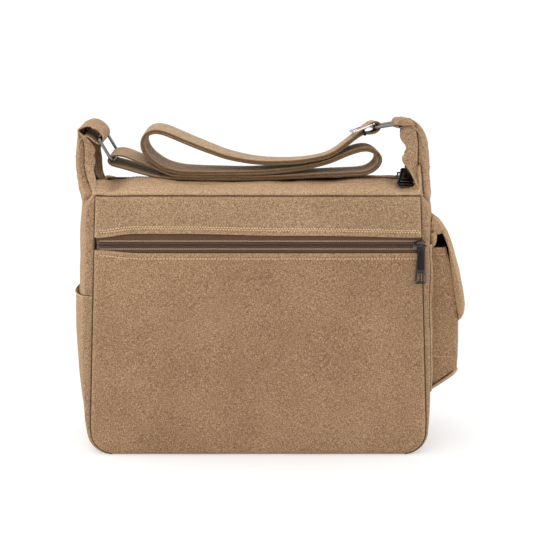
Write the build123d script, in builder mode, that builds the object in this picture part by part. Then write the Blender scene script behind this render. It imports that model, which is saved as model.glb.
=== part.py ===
"""Canvas messenger bag, closed and standing on its base, its shoulder strap folded on top.

Millimetres, +Z up, origin at the centre of the base on the floor.  The rear wall with
the flat zip pocket faces -Y, the front pocket +Y, the phone pocket is on the +X gusset.
"""
from build123d import *
import math
import os

# ---- shared dimensions ---------------------------------------------------
SEAM_Z = 270.0           # seam between the walls and the top
SEAM_HALF_W = 161.0      # half width of the walls at that seam
LOW_HALF_W = 173.5       # half width of the walls at LOW_Z and below
LOW_Z = 36.0
CORNER_R = 24.0          # lower corners of the walls
HALF_D = 55.0            # half depth
CANVAS = 1.6             # canvas thickness
GAP = 0.1                # between stitched plies
INNER_HALF_D = HALF_D - CANVAS - GAP

ZIP_SLOT = 0.6           # half of the slot between the tapes, for the slider post
COIL_W = 2.7             # one side of the closed chain
COIL_Y = ZIP_SLOT + COIL_W / 2
COIL_T = 1.8
COIL_LIFT = 0.02         # coil above tape
TAPE_T = 0.6

MAIN_ZIP_Z = 281.2       # upper face of the main zip tape
MAIN_SLIDER_X = 149.0
MAIN_PULL_DEG = 18.0     # slope of the main pull below horizontal

REAR_ZIP_Z = 220.0       # centre height of the rear zip
REAR_ZIP_HALF = 7.0      # half height of its opening
REAR_TAPE_Y = -53.3      # outer face of its tape
REAR_SLIDER_X = 160.0
REAR_BRIDGE_SHIFT = 1.6  # bridge and pull off the slider centre

STRAP_Y = -6.0           # centre plane of ears, rings and strap
STRAP_LEAN = 9.0         # degrees, front edge up
WEB_W = 38.0
WEB_T = 1.8              # one ply of webbing
# ring bars as (x, z)
LEFT_UPPER = (-160.0, 327.0)
LEFT_LOWER = (-147.7, 304.1)
RIGHT_UPPER = (142.8, 339.1)
RIGHT_LOWER = (118.0, 331.5)
RING_WIRE_R = 1.6
SWING_DIR = (RIGHT_UPPER[0] - LEFT_UPPER[0], 0, RIGHT_UPPER[1] - LEFT_UPPER[1])
SWING_START = (LEFT_UPPER[0], STRAP_Y, LEFT_UPPER[1])

os.makedirs("parts", exist_ok=True)


# ---- helpers -------------------------------------------------------------
def save(name, part):
    part.label = name
    export_step(part, f"parts/{name}.step")


def keep(name, builder):
    save(name, builder.part)


def keep_leaning(name, builder):
    """Strap-side pieces are drawn upright, then turned about the swing line."""
    save(name, builder.part.rotate(Axis(SWING_START, SWING_DIR), STRAP_LEAN))


def at_y(y):
    """Sketch plane across the bag at depth y; extrusions go towards -Y."""
    return Plane.XZ.offset(-y)


def at_x(x):
    """Sketch plane along the bag's depth at x; extrusions go towards +X."""
    return Plane.YZ.offset(x)


def local_plane(place, origin=(0, 0, 0), x=(1, 0, 0), z=(0, 0, 1)):
    """A plane given in the axes of another plane."""

    def turn(v):
        return place.x_dir * v[0] + place.y_dir * v[1] + place.z_dir * v[2]

    return Plane(origin=place.origin + turn(origin), x_dir=turn(x), z_dir=turn(z))


def local_yz(place, x, z=0):
    return local_plane(place, (x, 0, z), (0, 1, 0), (1, 0, 0))


def local_xz(place, x, y, z):
    return local_plane(place, (x, y, z), (1, 0, 0), (0, -1, 0))


def symmetric(right):
    """The given right-hand points followed by their mirror images."""
    return right + [(-x, y) for x, y in reversed(right)]


def prism(plane, outline, amount):
    with BuildPart() as part:
        with BuildSketch(plane):
            with BuildLine():
                Polyline(*outline, close=True)
            make_face()
        extrude(amount=amount)
    return part


def blocks(plane, centres, width, height, amount):
    """Equal rectangular blocks at the given centres."""
    with BuildPart() as part:
        with BuildSketch(plane):
            with Locations(*centres):
                Rectangle(width, height)
        extrude(amount=amount)
    return part


def catmull(points, per):
    """Smooth curve through the points, with this many steps to each span."""
    out = []
    padded = [points[0]] + list(points) + [points[-1]]
    for i in range(1, len(padded) - 2):
        p0, p1, p2, p3 = padded[i - 1 : i + 3]
        for k in range(per):
            t = k / per
            out.append(tuple(
                0.5 * (
                    2 * p1[j]
                    + (p2[j] - p0[j]) * t
                    + (2 * p0[j] - 5 * p1[j] + 4 * p2[j] - p3[j]) * t * t
                    + (3 * p1[j] - p0[j] - 3 * p2[j] + p3[j]) * t**3
                )
                for j in range(2)
            ))
    out.append(tuple(points[-1]))
    return out


def offset_points(points, distance):
    """Points moved sideways (positive is left of the direction of travel)."""
    out = []
    last = len(points) - 1
    for i, (x, z) in enumerate(points):
        before = points[max(i - 1, 0)]
        after = points[min(i + 1, last)]
        dx, dz = after[0] - before[0], after[1] - before[1]
        length = math.hypot(dx, dz)
        out.append((x - dz / length * distance, z + dx / length * distance))
    return out


# ---- walls ---------------------------------------------------------------
def half_w(z):
    """Half width of the walls at height z, ignoring the rounded corners."""
    rise = max(z, LOW_Z) - LOW_Z
    return LOW_HALF_W - rise * (LOW_HALF_W - SEAM_HALF_W) / (SEAM_Z - LOW_Z)


def wall(z0, z1, y_face, inset=0, corner=0):
    """Flat wall between two heights, one canvas thick behind its +Y face."""
    levels = [z0, LOW_Z, z1] if z0 < LOW_Z else [z0, z1]
    with BuildPart() as part:
        with BuildSketch(at_y(y_face)) as sketch:
            with BuildLine():
                Polyline(*symmetric([(half_w(z) - inset, z) for z in levels]), close=True)
            make_face()
            if corner:
                fillet(sketch.vertices().group_by(Axis.Y)[0], corner)
        extrude(amount=CANVAS)
    return part


# outer rear wall: lower part and upper band, with the pocket zip between
REAR_FACE = -HALF_D + CANVAS
keep("rear_pocket_wall", wall(0.0, REAR_ZIP_Z - REAR_ZIP_HALF, REAR_FACE, corner=CORNER_R))
keep("back_band", wall(REAR_ZIP_Z + REAR_ZIP_HALF, SEAM_Z, REAR_FACE))
# the structural wall behind the pocket
keep("back_panel", wall(2.4, SEAM_Z - 3.0, -49.0, inset=4.0, corner=CORNER_R - 3))
keep("front_panel", wall(0.0, SEAM_Z, HALF_D, corner=CORNER_R))

# ---- gussets -------------------------------------------------------------
# (height, bulged half width)
LEFT_LEVELS = [
    (270.0, 176.0), (240.0, 180.5), (190.0, 185.0), (127.0, 187.6),
    (60.0, 184.5), (30.0, 179.5), (12.0, 172.5), (2.0, 161.0),
]
RIGHT_LEVELS = [
    (270.0, 171.0), (248.0, 175.5), (190.0, 177.0), (110.0, 178.2),
    (60.0, 178.4), (30.0, 177.0), (12.0, 171.0), (2.0, 160.5),
]
GUSSET_T = 1.8
SLIP_TOP = (171.0, 186.1)    # top level of the slip pocket
SLIP_BOTTOM_Z = 8            # it stops above this height
SLIP_T = 1.6
FLAT_INSET = 0.8             # the inner flat is shorter at each end


def seam_w(z):
    """Half width at height z, following the rounded corners of the walls."""
    if z >= CORNER_R:
        return half_w(z)
    return LOW_HALF_W - CORNER_R + math.sqrt(CORNER_R**2 - (CORNER_R - z) ** 2)


def gusset(side, levels, y_seam, y_flat, inner, outer):
    """Ruled shell through U-shaped levels, its faces offset by inner and outer."""
    y_inner = y_flat - FLAT_INSET
    with BuildPart() as part:
        for z, bulge in levels:
            seam = seam_w(z)
            with BuildSketch(Plane.XY.offset(z)):
                with BuildLine():
                    Polyline(
                        (side * (seam + outer), -y_seam),
                        (side * (bulge + outer), -y_flat),
                        (side * (bulge + outer), y_flat),
                        (side * (seam + outer), y_seam),
                        (side * (seam + inner), y_seam),
                        (side * (bulge + inner), y_inner),
                        (side * (bulge + inner), -y_inner),
                        (side * (seam + inner), -y_seam),
                        close=True,
                    )
                make_face()
        loft(ruled=True)
    return part


keep("left_gusset", gusset(-1, LEFT_LEVELS, INNER_HALF_D, 30.0, -GUSSET_T, 0.0))
keep("right_gusset", gusset(1, RIGHT_LEVELS, INNER_HALF_D, 36.0, -GUSSET_T, 0.0))

# slip pocket lying on the left gusset
slip_levels = [SLIP_TOP] + [lv for lv in LEFT_LEVELS if SLIP_BOTTOM_Z < lv[0] < SLIP_TOP[0]]
keep("left_slip_pocket", gusset(-1, slip_levels, 51.5, 29.0, SLIP_T, 2 * SLIP_T))

# ---- base ----------------------------------------------------------------
BASE_HALF_L = 156.5
keep("bottom_panel", blocks(Plane.XY, [(0, 0)], 2 * BASE_HALF_L, 2 * INNER_HALF_D, 1.8))

with BuildPart() as base_board:
    with BuildSketch(Plane.XY.offset(4.2)) as sketch:
        Rectangle(288, 84)
        fillet(sketch.vertices(), 12)
    extrude(amount=2.0)
keep("base_board", base_board)

# ---- lining and inner pocket ---------------------------------------------
LINING_L, LINING_D, LINING_R = 302, 92, 16
LINING_Z = 2.6
LINING_T = 0.8

with BuildPart() as main_lining:
    with BuildSketch(Plane.XY.offset(LINING_Z)) as sketch:
        Rectangle(LINING_L, LINING_D)
        fillet(sketch.vertices(), LINING_R)
    extrude(amount=262.0)
    # hollow, cut out through the top
    with BuildSketch(Plane.XY.offset(LINING_Z + LINING_T)) as sketch:
        Rectangle(LINING_L - 2 * LINING_T, LINING_D - 2 * LINING_T)
        fillet(sketch.vertices(), LINING_R - LINING_T)
    extrude(amount=270.0, mode=Mode.SUBTRACT)
keep("main_lining", main_lining)

# flat piece inside the front face of the lining
with BuildPart() as inner_slip_pocket:
    with BuildSketch(at_y(44.6)) as sketch:
        with Locations((0, 150)):
            Rectangle(200, 130)
        fillet(sketch.vertices().group_by(Axis.Y)[0], 14)
    extrude(amount=1.2)
keep("inner_slip_pocket", inner_slip_pocket)

# ---- top, on both sides of the main zip ----------------------------------
TOP_START_Z = SEAM_Z + 0.3
# upper face of the rear half, seam to zip, as (y, z)
TOP_OUTER = [(-54.9, TOP_START_Z), (-36.0, 273.2), (-20.0, 278.0), (-7.2, 283.2)]
TOP_DROP = 1.72              # upper face to lower face, measured down
TOP_HALF_L = 160.0
TOP_PROFILE = (
    TOP_OUTER + [(y, z - TOP_DROP) for y, z in reversed(TOP_OUTER[1:])] + [(-52.6, TOP_START_Z)]
)
for name, sign in (("top_panel_back", 1), ("top_panel_front", -1)):
    profile = [(sign * y, z) for y, z in TOP_PROFILE]
    keep(name, prism(at_x(-TOP_HALF_L), profile, 2 * TOP_HALF_L))

# ---- main zip ------------------------------------------------------------
TAPE_HALF_L = 158.0          # both zips
TAPE_DROP = 5.6              # the outer edges of the main tape slope down this far

with BuildPart() as main_zip_tape:
    with BuildSketch(at_x(-TAPE_HALF_L)):
        for sign in (1, -1):
            with BuildLine():
                Polyline(
                    (sign * ZIP_SLOT, MAIN_ZIP_Z),
                    (sign * 5.6, MAIN_ZIP_Z),
                    (sign * 16.0, MAIN_ZIP_Z - TAPE_DROP),
                    (sign * 16.0, MAIN_ZIP_Z - TAPE_DROP - TAPE_T),
                    (sign * 5.4, MAIN_ZIP_Z - TAPE_T),
                    (sign * ZIP_SLOT, MAIN_ZIP_Z - TAPE_T),
                    close=True,
                )
            make_face()
    extrude(amount=2 * TAPE_HALF_L)
keep("main_zip_tape", main_zip_tape)

coil_z = MAIN_ZIP_Z + COIL_LIFT + COIL_T / 2
coil_centres = [(-COIL_Y, coil_z), (COIL_Y, coil_z)]
keep("main_zip_coil", blocks(at_x(-154.0), coil_centres, COIL_W, COIL_T, 309.0))

with BuildPart() as main_zip_stops:
    for x in (-156.6, 156.0):
        with BuildSketch(at_x(x)):
            with Locations((-2.3, MAIN_ZIP_Z + 1.1), (2.3, MAIN_ZIP_Z + 1.1)):
                Rectangle(3.0, 2.1)
        extrude(amount=1.8)
keep("main_zip_stops", main_zip_stops)

# ---- rear zip ------------------------------------------------------------
REAR_TAPE_W = 12.4
REAR_COIL_HALF_L = 157.0


def about_rear_zip(x, distance):
    """Centres below and above the rear zip line."""
    return [(x, REAR_ZIP_Z - distance), (x, REAR_ZIP_Z + distance)]


keep("rear_zip_tape", blocks(
    at_y(REAR_TAPE_Y + TAPE_T), about_rear_zip(0, ZIP_SLOT + REAR_TAPE_W / 2),
    2 * TAPE_HALF_L, REAR_TAPE_W, TAPE_T,
))
keep("rear_zip_coil", blocks(
    at_y(REAR_TAPE_Y - COIL_LIFT), about_rear_zip(0, COIL_Y),
    2 * REAR_COIL_HALF_L, COIL_W, COIL_T,
))
keep("rear_zip_stops", blocks(
    at_y(REAR_TAPE_Y - 0.05), about_rear_zip(-158.6, 2.4), 2.0, 3.2, 1.9,
))

# ---- zip sliders and pulls -----------------------------------------------
# Sliders are drawn in a local frame: x along the zip, y across it, z away from
# the tape's outer face.
UPPER_EDGE = [(-6.0, -3.4), (-2.0, -4.6), (4.4, -4.9), (6.0, -3.6)]  # upper plate, -y side
UPPER_Z, UPPER_T = 2.3, 1.4
FLANGE_Z, FLANGE_H = 0.45, 1.95
LOWER_Z, LOWER_T = -2.2, 1.2
POST_Z, POST_H = -1.1, 3.5
LEG_X, LEG_Z, LEG_H = 4.2, 3.6, 3.2
BRIDGE_Z = 6.3               # bridge bar, which carries the pull
BRIDGE_R = 0.85
BRIDGE_HALF_L = 4.7


def zip_slider(place, lower_from, lower_to, bridge_shift):
    lower_x = (lower_from + lower_to) / 2
    with BuildPart() as part:
        # upper plate
        with BuildSketch(local_plane(place, (0, 0, UPPER_Z))):
            with BuildLine():
                Polyline(*UPPER_EDGE, *[(x, -y) for x, y in reversed(UPPER_EDGE)], close=True)
            make_face()
        extrude(amount=UPPER_T)
        # side flanges
        with BuildSketch(local_plane(place, (0, 0, FLANGE_Z))):
            with Locations((1.0, 4.1), (1.0, -4.1)):
                Rectangle(7.0, 0.9)
        extrude(amount=FLANGE_H)
        # lower plate, behind the tape
        with BuildSketch(local_plane(place, (0, 0, LOWER_Z))):
            with Locations((lower_x, 0)):
                Rectangle(lower_to - lower_from, 8.6)
        extrude(amount=LOWER_T)
        # post in the slot
        with BuildSketch(local_plane(place, (0, 0, POST_Z))):
            with Locations((lower_x, 0)):
                Rectangle(3.0, 0.7)
        extrude(amount=POST_H)
        # bridge legs and bar
        for x in (-LEG_X, LEG_X):
            with BuildSketch(local_plane(place, (x + bridge_shift, 0, LEG_Z))):
                Rectangle(1.3, 1.7)
            extrude(amount=LEG_H)
        with BuildSketch(local_yz(place, -BRIDGE_HALF_L + bridge_shift, BRIDGE_Z)):
            Circle(BRIDGE_R)
        extrude(amount=2 * BRIDGE_HALF_L)
    return part


PULL_L = 38.0
PULL_HALF_T = 0.9
PULL_TOP_Y = -1.3            # the plate starts here, the hinge axis is at y = 0
KNUCKLE_R = 1.8
KNUCKLE_HALF_L = 2.9
KNUCKLE_BORE = 1.05          # radius
RECESS_Z = 0.45              # recess floors, either side of the middle plane
FRAME_TOP = 1.5              # frame width at the hinge end of the recess
FRAME = 1.9                  # frame width elsewhere along the sides


def zip_pull(place, w_top, w_end):
    """Framed pull: hinge along x, plate running towards -y of its plane."""
    frame_x = w_end / 2 - FRAME
    with BuildPart() as part:
        with BuildSketch(place) as sketch:
            with BuildLine():
                Polyline(
                    *symmetric([(w_top / 2, PULL_TOP_Y), (w_end / 2, -PULL_L)]), close=True
                )
            make_face()
            fillet(sketch.vertices().group_by(Axis.Y)[0], 1.6)
        extrude(amount=PULL_HALF_T, both=True)
        with BuildSketch(local_yz(place, -KNUCKLE_HALF_L)):
            Circle(KNUCKLE_R)
        extrude(amount=2 * KNUCKLE_HALF_L)
        # recessed panel on each face
        recess = symmetric([(w_top / 2 - FRAME_TOP, -6.0), (frame_x, -PULL_L * 0.62)])
        for side in (1, -1):
            with BuildSketch(local_plane(place, (0, 0, side * RECESS_Z))) as sketch:
                with BuildLine():
                    Polyline(*recess, close=True)
                make_face()
                fillet(sketch.vertices(), 0.8)
            extrude(amount=side * 1.0, mode=Mode.SUBTRACT)
        # window at the free end
        with BuildSketch(place) as sketch:
            with BuildLine():
                Polyline(
                    *symmetric([(frame_x, -PULL_L * 0.72), (frame_x, -PULL_L + 2.2)]), close=True
                )
            make_face()
            fillet(sketch.vertices(), 0.8)
        extrude(amount=2.0, both=True, mode=Mode.SUBTRACT)
        # hinge bore
        with BuildSketch(local_yz(place, -4.0)):
            Circle(KNUCKLE_BORE)
        extrude(amount=8.0, mode=Mode.SUBTRACT)
    return part


main_place = Plane(origin=(MAIN_SLIDER_X, 0, MAIN_ZIP_Z), x_dir=(1, 0, 0), z_dir=(0, 0, 1))
keep("main_zip_slider", zip_slider(main_place, -5.0, 5.0, 0.0))
pull_angle = math.radians(MAIN_PULL_DEG)
main_pull_place = Plane(
    origin=(MAIN_SLIDER_X, 0, MAIN_ZIP_Z + BRIDGE_Z),
    x_dir=(1, 0, 0),
    z_dir=(0, -math.sin(pull_angle), math.cos(pull_angle)),
)
keep("main_zip_pull", zip_pull(main_pull_place, w_top=9.0, w_end=20.0))

# the rear slider faces -Y; its local y axis points up
rear_place = Plane(
    origin=(REAR_SLIDER_X, REAR_TAPE_Y, REAR_ZIP_Z), x_dir=(1, 0, 0), z_dir=(0, -1, 0)
)
keep("rear_zip_slider", zip_slider(rear_place, -5.0, 0.8, REAR_BRIDGE_SHIFT))
rear_pull_place = local_plane(rear_place, (REAR_BRIDGE_SHIFT, 0, BRIDGE_Z))
keep("rear_zip_pull", zip_pull(rear_pull_place, w_top=8.5, w_end=11.4))

# ---- rear pocket lining: two plies joined by a strip near the bottom ------
PLY_T = 0.35
PLY_FACES = (-50.75, -52.35)     # +Y face of each ply

with BuildPart() as rear_pocket_lining:
    for y in PLY_FACES:
        with BuildSketch(at_y(y)) as sketch:
            with Locations((0, 135)):
                Rectangle(300, 140)
            fillet(sketch.vertices().group_by(Axis.Y)[0], 18)
        extrude(amount=PLY_T)
    with BuildSketch(at_y(PLY_FACES[0])):
        with Locations((0, 66.0)):
            Rectangle(262, 2.0)
    extrude(amount=PLY_FACES[0] - PLY_FACES[1] + PLY_T)
keep("rear_pocket_lining", rear_pocket_lining)

# ---- phone pocket on the right gusset ------------------------------------
PHONE_IN, PHONE_OUT = 179.5, 204.0   # inner and outer faces
PHONE_HALF_W = 38.0
# outer profile and hollow as (x, z)
PHONE_PROFILE = [
    (PHONE_IN, 70), (PHONE_OUT - 5, 80), (PHONE_OUT, 90), (PHONE_OUT + 0.5, 140),
    (PHONE_OUT - 2.5, 178), (192, 214), (PHONE_IN, 214),
]
PHONE_HOLLOW = [
    (PHONE_IN - 2, 72.4), (PHONE_OUT - 5.6, 82.2), (PHONE_OUT - CANVAS, 90.6),
    (PHONE_OUT + 0.5 - CANVAS, 140), (PHONE_OUT - 2.5 - CANVAS, 177.6),
    (190.2, 214), (190.2, 220), (PHONE_IN - 2, 220),
]

with BuildPart() as side_pocket_body:
    with BuildSketch(at_y(PHONE_HALF_W)):
        with BuildLine():
            Polyline(*PHONE_PROFILE, close=True)
        make_face()
    extrude(amount=2 * PHONE_HALF_W)
    with BuildSketch(at_y(PHONE_HALF_W - CANVAS)):
        with BuildLine():
            Polyline(*PHONE_HOLLOW, close=True)
        make_face()
    extrude(amount=2 * (PHONE_HALF_W - CANVAS), mode=Mode.SUBTRACT)
keep("side_pocket_body", side_pocket_body)

# fastening patches: one on the pocket, its mate inside the flap
keep("side_pocket_patch", blocks(at_x(PHONE_OUT + 0.6), [(0, 152)], 36, 16, 1.0))
keep("side_flap_patch", blocks(at_x(206.4), [(0, 152)], 36, 16, 1.0))

# outer face of the flap, top to bottom, as (x, z)
SIDE_FLAP_OUTER = [
    (179.4, 245.7), (186.5, 240.5), (193.6, 231.6), (199.5, 217.0),
    (203.6, 200.0), (208.4, 176.0), (211.2, 156.0), (209.6, 139.0),
]
SIDE_FLAP_HALF_W = 44.0
FLAP_T = 2.2
flap_outer = catmull(SIDE_FLAP_OUTER, 2)
flap_profile = flap_outer + offset_points(flap_outer, -FLAP_T)[::-1]
keep("side_flap", prism(at_y(SIDE_FLAP_HALF_W), flap_profile, 2 * SIDE_FLAP_HALF_W))

# ---- front pocket --------------------------------------------------------
FRONT_HALF_W = 112.0
FRONT_Y = 71.0               # outer face
FRONT_Z, FRONT_H = 22.0, 152
FRONT_R = 20
HOLLOW_H = 160.8             # runs out through the top
FRONT_FLAP_HALF_W = FRONT_HALF_W + 3
FLAP_INNER_Y = 74.2
FLAP_OUTER_Y = FLAP_INNER_Y + FLAP_T
# (y, z)
FRONT_FLAP_PROFILE = [
    (57.0, 200.2), (60.0, 199.6), (70.0, 190.5), (75.6, 178.0),
    (FLAP_OUTER_Y, 150.0), (FLAP_OUTER_Y, 92.0), (FLAP_INNER_Y, 92.0), (FLAP_INNER_Y, 150.0),
    (73.4, 177.0), (68.4, 188.6), (59.6, 197.2), (56.6, 198.0),
]
SNAPS = [(-70, 112), (70, 112)]      # (x, z)
SOCKET_T = 1.6

with BuildPart() as front_pocket_body:
    with BuildSketch(at_y(FRONT_Y)) as sketch:
        with Locations((0, FRONT_Z + FRONT_H / 2)):
            Rectangle(2 * FRONT_HALF_W, FRONT_H)
        fillet(sketch.vertices().group_by(Axis.Y)[0], FRONT_R)
    extrude(amount=FRONT_Y - HALF_D - GAP)
    # hollow, open at the top and towards the bag
    with BuildSketch(at_y(FRONT_Y - CANVAS)) as sketch:
        with Locations((0, FRONT_Z + CANVAS + HOLLOW_H / 2)):
            Rectangle(2 * (FRONT_HALF_W - CANVAS), HOLLOW_H)
        fillet(sketch.vertices().group_by(Axis.Y)[0], FRONT_R - CANVAS)
    extrude(amount=FRONT_Y - CANVAS - HALF_D + 2, mode=Mode.SUBTRACT)
keep("front_pocket_body", front_pocket_body)

with BuildPart() as front_flap:
    with BuildSketch(at_x(-FRONT_FLAP_HALF_W)):
        with BuildLine():
            Polyline(*FRONT_FLAP_PROFILE, close=True)
        make_face()
    extrude(amount=2 * FRONT_FLAP_HALF_W)
    # lower corners
    fillet(front_flap.edges().filter_by(Axis.Y).group_by(Axis.Z)[0], 30)
keep("front_flap", front_flap)

# sockets on the pocket, studs inside the flap
with BuildPart() as front_snap_sockets:
    with BuildSketch(at_y(FRONT_Y + GAP + SOCKET_T)):
        with Locations(*SNAPS):
            Circle(8.5)
            Circle(3.0, mode=Mode.SUBTRACT)
    extrude(amount=SOCKET_T)
keep("front_snap_sockets", front_snap_sockets)

with BuildPart() as front_snap_studs:
    with BuildSketch(at_y(FLAP_INNER_Y - GAP)):
        with Locations(*SNAPS):
            Circle(8.0)
    extrude(amount=1.1)
keep("front_snap_studs", front_snap_studs)

# ---- ears ----------------------------------------------------------------
# Each ear is a fixed stem and a fold around its ring; the fold turns about the
# strap's swing line.  Outlines are (x, z).
EAR_W = 39.0
EAR_SWEEP = 23.6             # the folds turn inside this radius
EAR_CLEARANCE = 0.8
EAR_FRONT = STRAP_Y + EAR_W / 2
WING_T = 1.8
WING_Z0, WING_Z1 = 273.5, 318.0
WING_DROP = 14               # the wing top slopes down inwards by this much
BAR_CLEARANCE = 1.3
SWING_CUT = Plane(origin=SWING_START, x_dir=(0, 1, 0), z_dir=SWING_DIR).offset(-60)
SWING_CUT_L = 420

LEFT_STEM = [
    (-186.0, 256.0), (-182.4, 256.0), (-180.4, 272.0),
    (-179.6, 322.0), (-183.2, 322.0), (-184.2, 290.0),
]
RIGHT_STEM = [
    (178.6, 256.0), (175.2, 256.0), (173.0, 272.0), (170.0, 300.0),
    (164.0, 332.0), (167.8, 334.0), (173.4, 306.0), (176.2, 285.0),
]
LEFT_FOLD = [
    (-183.2, 296.0), (-183.0, 330.0), (-179.5, 336.5), (-172.0, 339.3),
    (-163.0, 337.0), (-156.5, 331.8), (-154.2, 326.5), (-156.8, 323.2),
    (-162.0, 322.0), (-167.5, 321.0), (-176.5, 312.0), (-176.8, 296.0),
]
LEFT_FOLD_SLOT = [
    (-164.5, 328.2), (-172.5, 331.0), (-179.0, 329.0),
    (-179.4, 320.0), (-172.0, 324.0), (-164.5, 326.2),
]
RIGHT_FOLD = [
    (173.5, 308.0), (169.2, 324.0), (162.0, 336.4), (153.0, 341.8),
    (141.0, 342.9), (136.6, 340.4), (136.4, 336.4), (139.5, 334.0),
    (148.0, 333.6), (155.5, 330.2), (161.0, 322.0), (165.0, 308.0),
]
RIGHT_FOLD_SLOT = [
    (145.5, 339.8), (152.6, 338.0), (158.6, 334.2),
    (156.4, 333.0), (151.0, 336.0), (145.5, 337.2),
]


def ear_stem(outline, wing_out, wing_in):
    """Stem strip with inward wings, hollowed on top for the turning fold."""
    with BuildPart() as part:
        with BuildSketch(at_y(EAR_FRONT)):
            with BuildLine():
                Polyline(*outline, close=True)
            make_face()
        extrude(amount=EAR_W)
        for y in (EAR_FRONT, EAR_FRONT - EAR_W + WING_T):
            with BuildSketch(at_y(y)):
                with BuildLine():
                    Polyline(
                        (wing_out, WING_Z0), (wing_in, WING_Z0),
                        (wing_in, WING_Z1 - WING_DROP), (wing_out, WING_Z1), close=True,
                    )
                make_face()
            extrude(amount=WING_T)
        with BuildSketch(SWING_CUT):
            Circle(EAR_SWEEP + EAR_CLEARANCE)
        extrude(amount=SWING_CUT_L, mode=Mode.SUBTRACT)
    return part


def ear_loop(outline, bar, slot):
    """Fold with a hole for the ring bar and a slot, trimmed to the swing radius."""
    with BuildPart() as part:
        with BuildSketch(at_y(EAR_FRONT)):
            with BuildLine():
                Polyline(*outline, close=True)
            make_face()
            with Locations(bar):
                Circle(RING_WIRE_R + BAR_CLEARANCE, mode=Mode.SUBTRACT)
            with BuildLine():
                Polyline(*slot, close=True)
            make_face(mode=Mode.SUBTRACT)
        extrude(amount=EAR_W)
        with BuildSketch(SWING_CUT):
            Circle(EAR_SWEEP)
        extrude(amount=SWING_CUT_L, mode=Mode.INTERSECT)
    return part


keep("left_ear", ear_stem(LEFT_STEM, -181.0, -163.5))
keep("right_ear", ear_stem(RIGHT_STEM, 173.0, 161.5))
keep_leaning("left_ear_loop", ear_loop(LEFT_FOLD, LEFT_UPPER, LEFT_FOLD_SLOT))
keep_leaning("right_ear_loop", ear_loop(RIGHT_FOLD, RIGHT_UPPER, RIGHT_FOLD_SLOT))


# ---- rings ---------------------------------------------------------------
def ring(upper, lower):
    """Rectangular wire ring lying in the plane through both bars."""
    (upper_x, upper_z), (lower_x, lower_z) = upper, lower
    length = math.hypot(lower_x - upper_x, lower_z - upper_z)
    down = Vector((lower_x - upper_x) / length, 0, (lower_z - upper_z) / length)
    # x of this plane runs along the bars, y from the upper to the lower bar
    place = Plane(
        origin=(upper_x, STRAP_Y, upper_z), x_dir=(0, 1, 0), z_dir=Vector(0, 1, 0).cross(down)
    )
    half = WEB_W / 2 + 2.4
    bend = 4.0
    with BuildPart() as part:
        with BuildLine(place) as path:
            Line((-half + bend, 0), (half - bend, 0))
            CenterArc((half - bend, bend), bend, -90, 90)
            Line((half, bend), (half, length - bend))
            CenterArc((half - bend, length - bend), bend, 0, 90)
            Line((half - bend, length), (-half + bend, length))
            CenterArc((-half + bend, length - bend), bend, 90, 90)
            Line((-half, length - bend), (-half, bend))
            CenterArc((-half + bend, bend), bend, 180, 90)
        with BuildSketch(Plane(origin=place.origin, x_dir=place.y_dir, z_dir=place.x_dir)):
            Circle(RING_WIRE_R)
        sweep(path=path.wires()[0])
    return part


keep_leaning("left_ring", ring(LEFT_UPPER, LEFT_LOWER))
keep_leaning("right_ring", ring(RIGHT_UPPER, RIGHT_LOWER))

# ---- strap ---------------------------------------------------------------
# Centre line (x, z) of the doubled webbing, folded in a Z: from the left ring
# to the right fold, back to the left fold, then up towards the right ring.
STRAP_RUN = [
    (-124.0, 295.6), (-112.0, 293.0), (-96.0, 292.0), (-60.0, 291.9), (0.0, 291.9),
    (60.0, 291.9), (92.0, 292.0), (108.0, 293.6), (118.5, 298.2), (122.6, 304.2),
    (119.0, 310.8), (108.0, 314.4), (92.0, 312.6), (69.0, 306.6), (40.0, 299.6),
    (14.0, 296.3), (-10.0, 295.8), (-50.0, 295.8), (-76.0, 296.4), (-92.0, 299.2),
    (-104.0, 304.8), (-112.6, 312.0), (-115.8, 320.0), (-112.0, 328.6), (-103.0, 332.4),
    (-92.0, 329.2), (-77.0, 322.6), (-61.0, 316.0), (-45.0, 310.4), (-28.0, 305.6),
    (-4.0, 302.6), (17.0, 302.6), (40.0, 304.2), (60.0, 307.0), (72.0, 309.5),
    (80.0, 311.8),
]
# loop around the left ring's lower bar, (x, z)
LEFT_LOOP_OUTER = [
    (-123.0, 297.6), (-140.5, 310.0), (-148.0, 311.3), (-153.4, 308.4), (-154.2, 303.6),
    (-152.4, 299.2), (-148.0, 297.3), (-141.0, 295.8), (-125.0, 294.0),
]
LEFT_LOOP_INNER = [
    (-131.0, 300.0), (-141.2, 308.2), (-147.8, 309.5), (-151.8, 307.4),
    (-152.5, 303.6), (-151.2, 300.6), (-147.7, 299.1), (-141.0, 297.7),
]
# loop around the right ring's lower bar, (along, above) the strap from the bar
RIGHT_LOOP_OUTER = [
    (-8.5, -0.4), (-5.0, 3.2), (-1.0, 5.2), (2.4, 4.8), (5.2, 2.6),
    (5.2, -2.6), (2.4, -4.8), (-1.0, -5.2), (-6.0, -4.8), (-8.5, -3.4),
]
RIGHT_LOOP_INNER = [
    (-5.0, 0.2), (-3.6, 2.2), (-0.4, 3.6), (1.8, 3.4), (3.6, 1.8),
    (3.6, -1.8), (1.8, -3.4), (-0.4, -3.6), (-3.6, -2.8), (-5.0, -1.8),
]
WEB_FRONT = STRAP_Y + WEB_W / 2

# straight last part, from the end of the run to the right ring
straight_x, straight_z = STRAP_RUN[-1]
strap_end = (RIGHT_LOWER[0] - 6.5, RIGHT_LOWER[1] - 2.0)
slope = math.atan2(strap_end[1] - straight_z, strap_end[0] - straight_x)
along_x, along_z = math.cos(slope), math.sin(slope)

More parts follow.
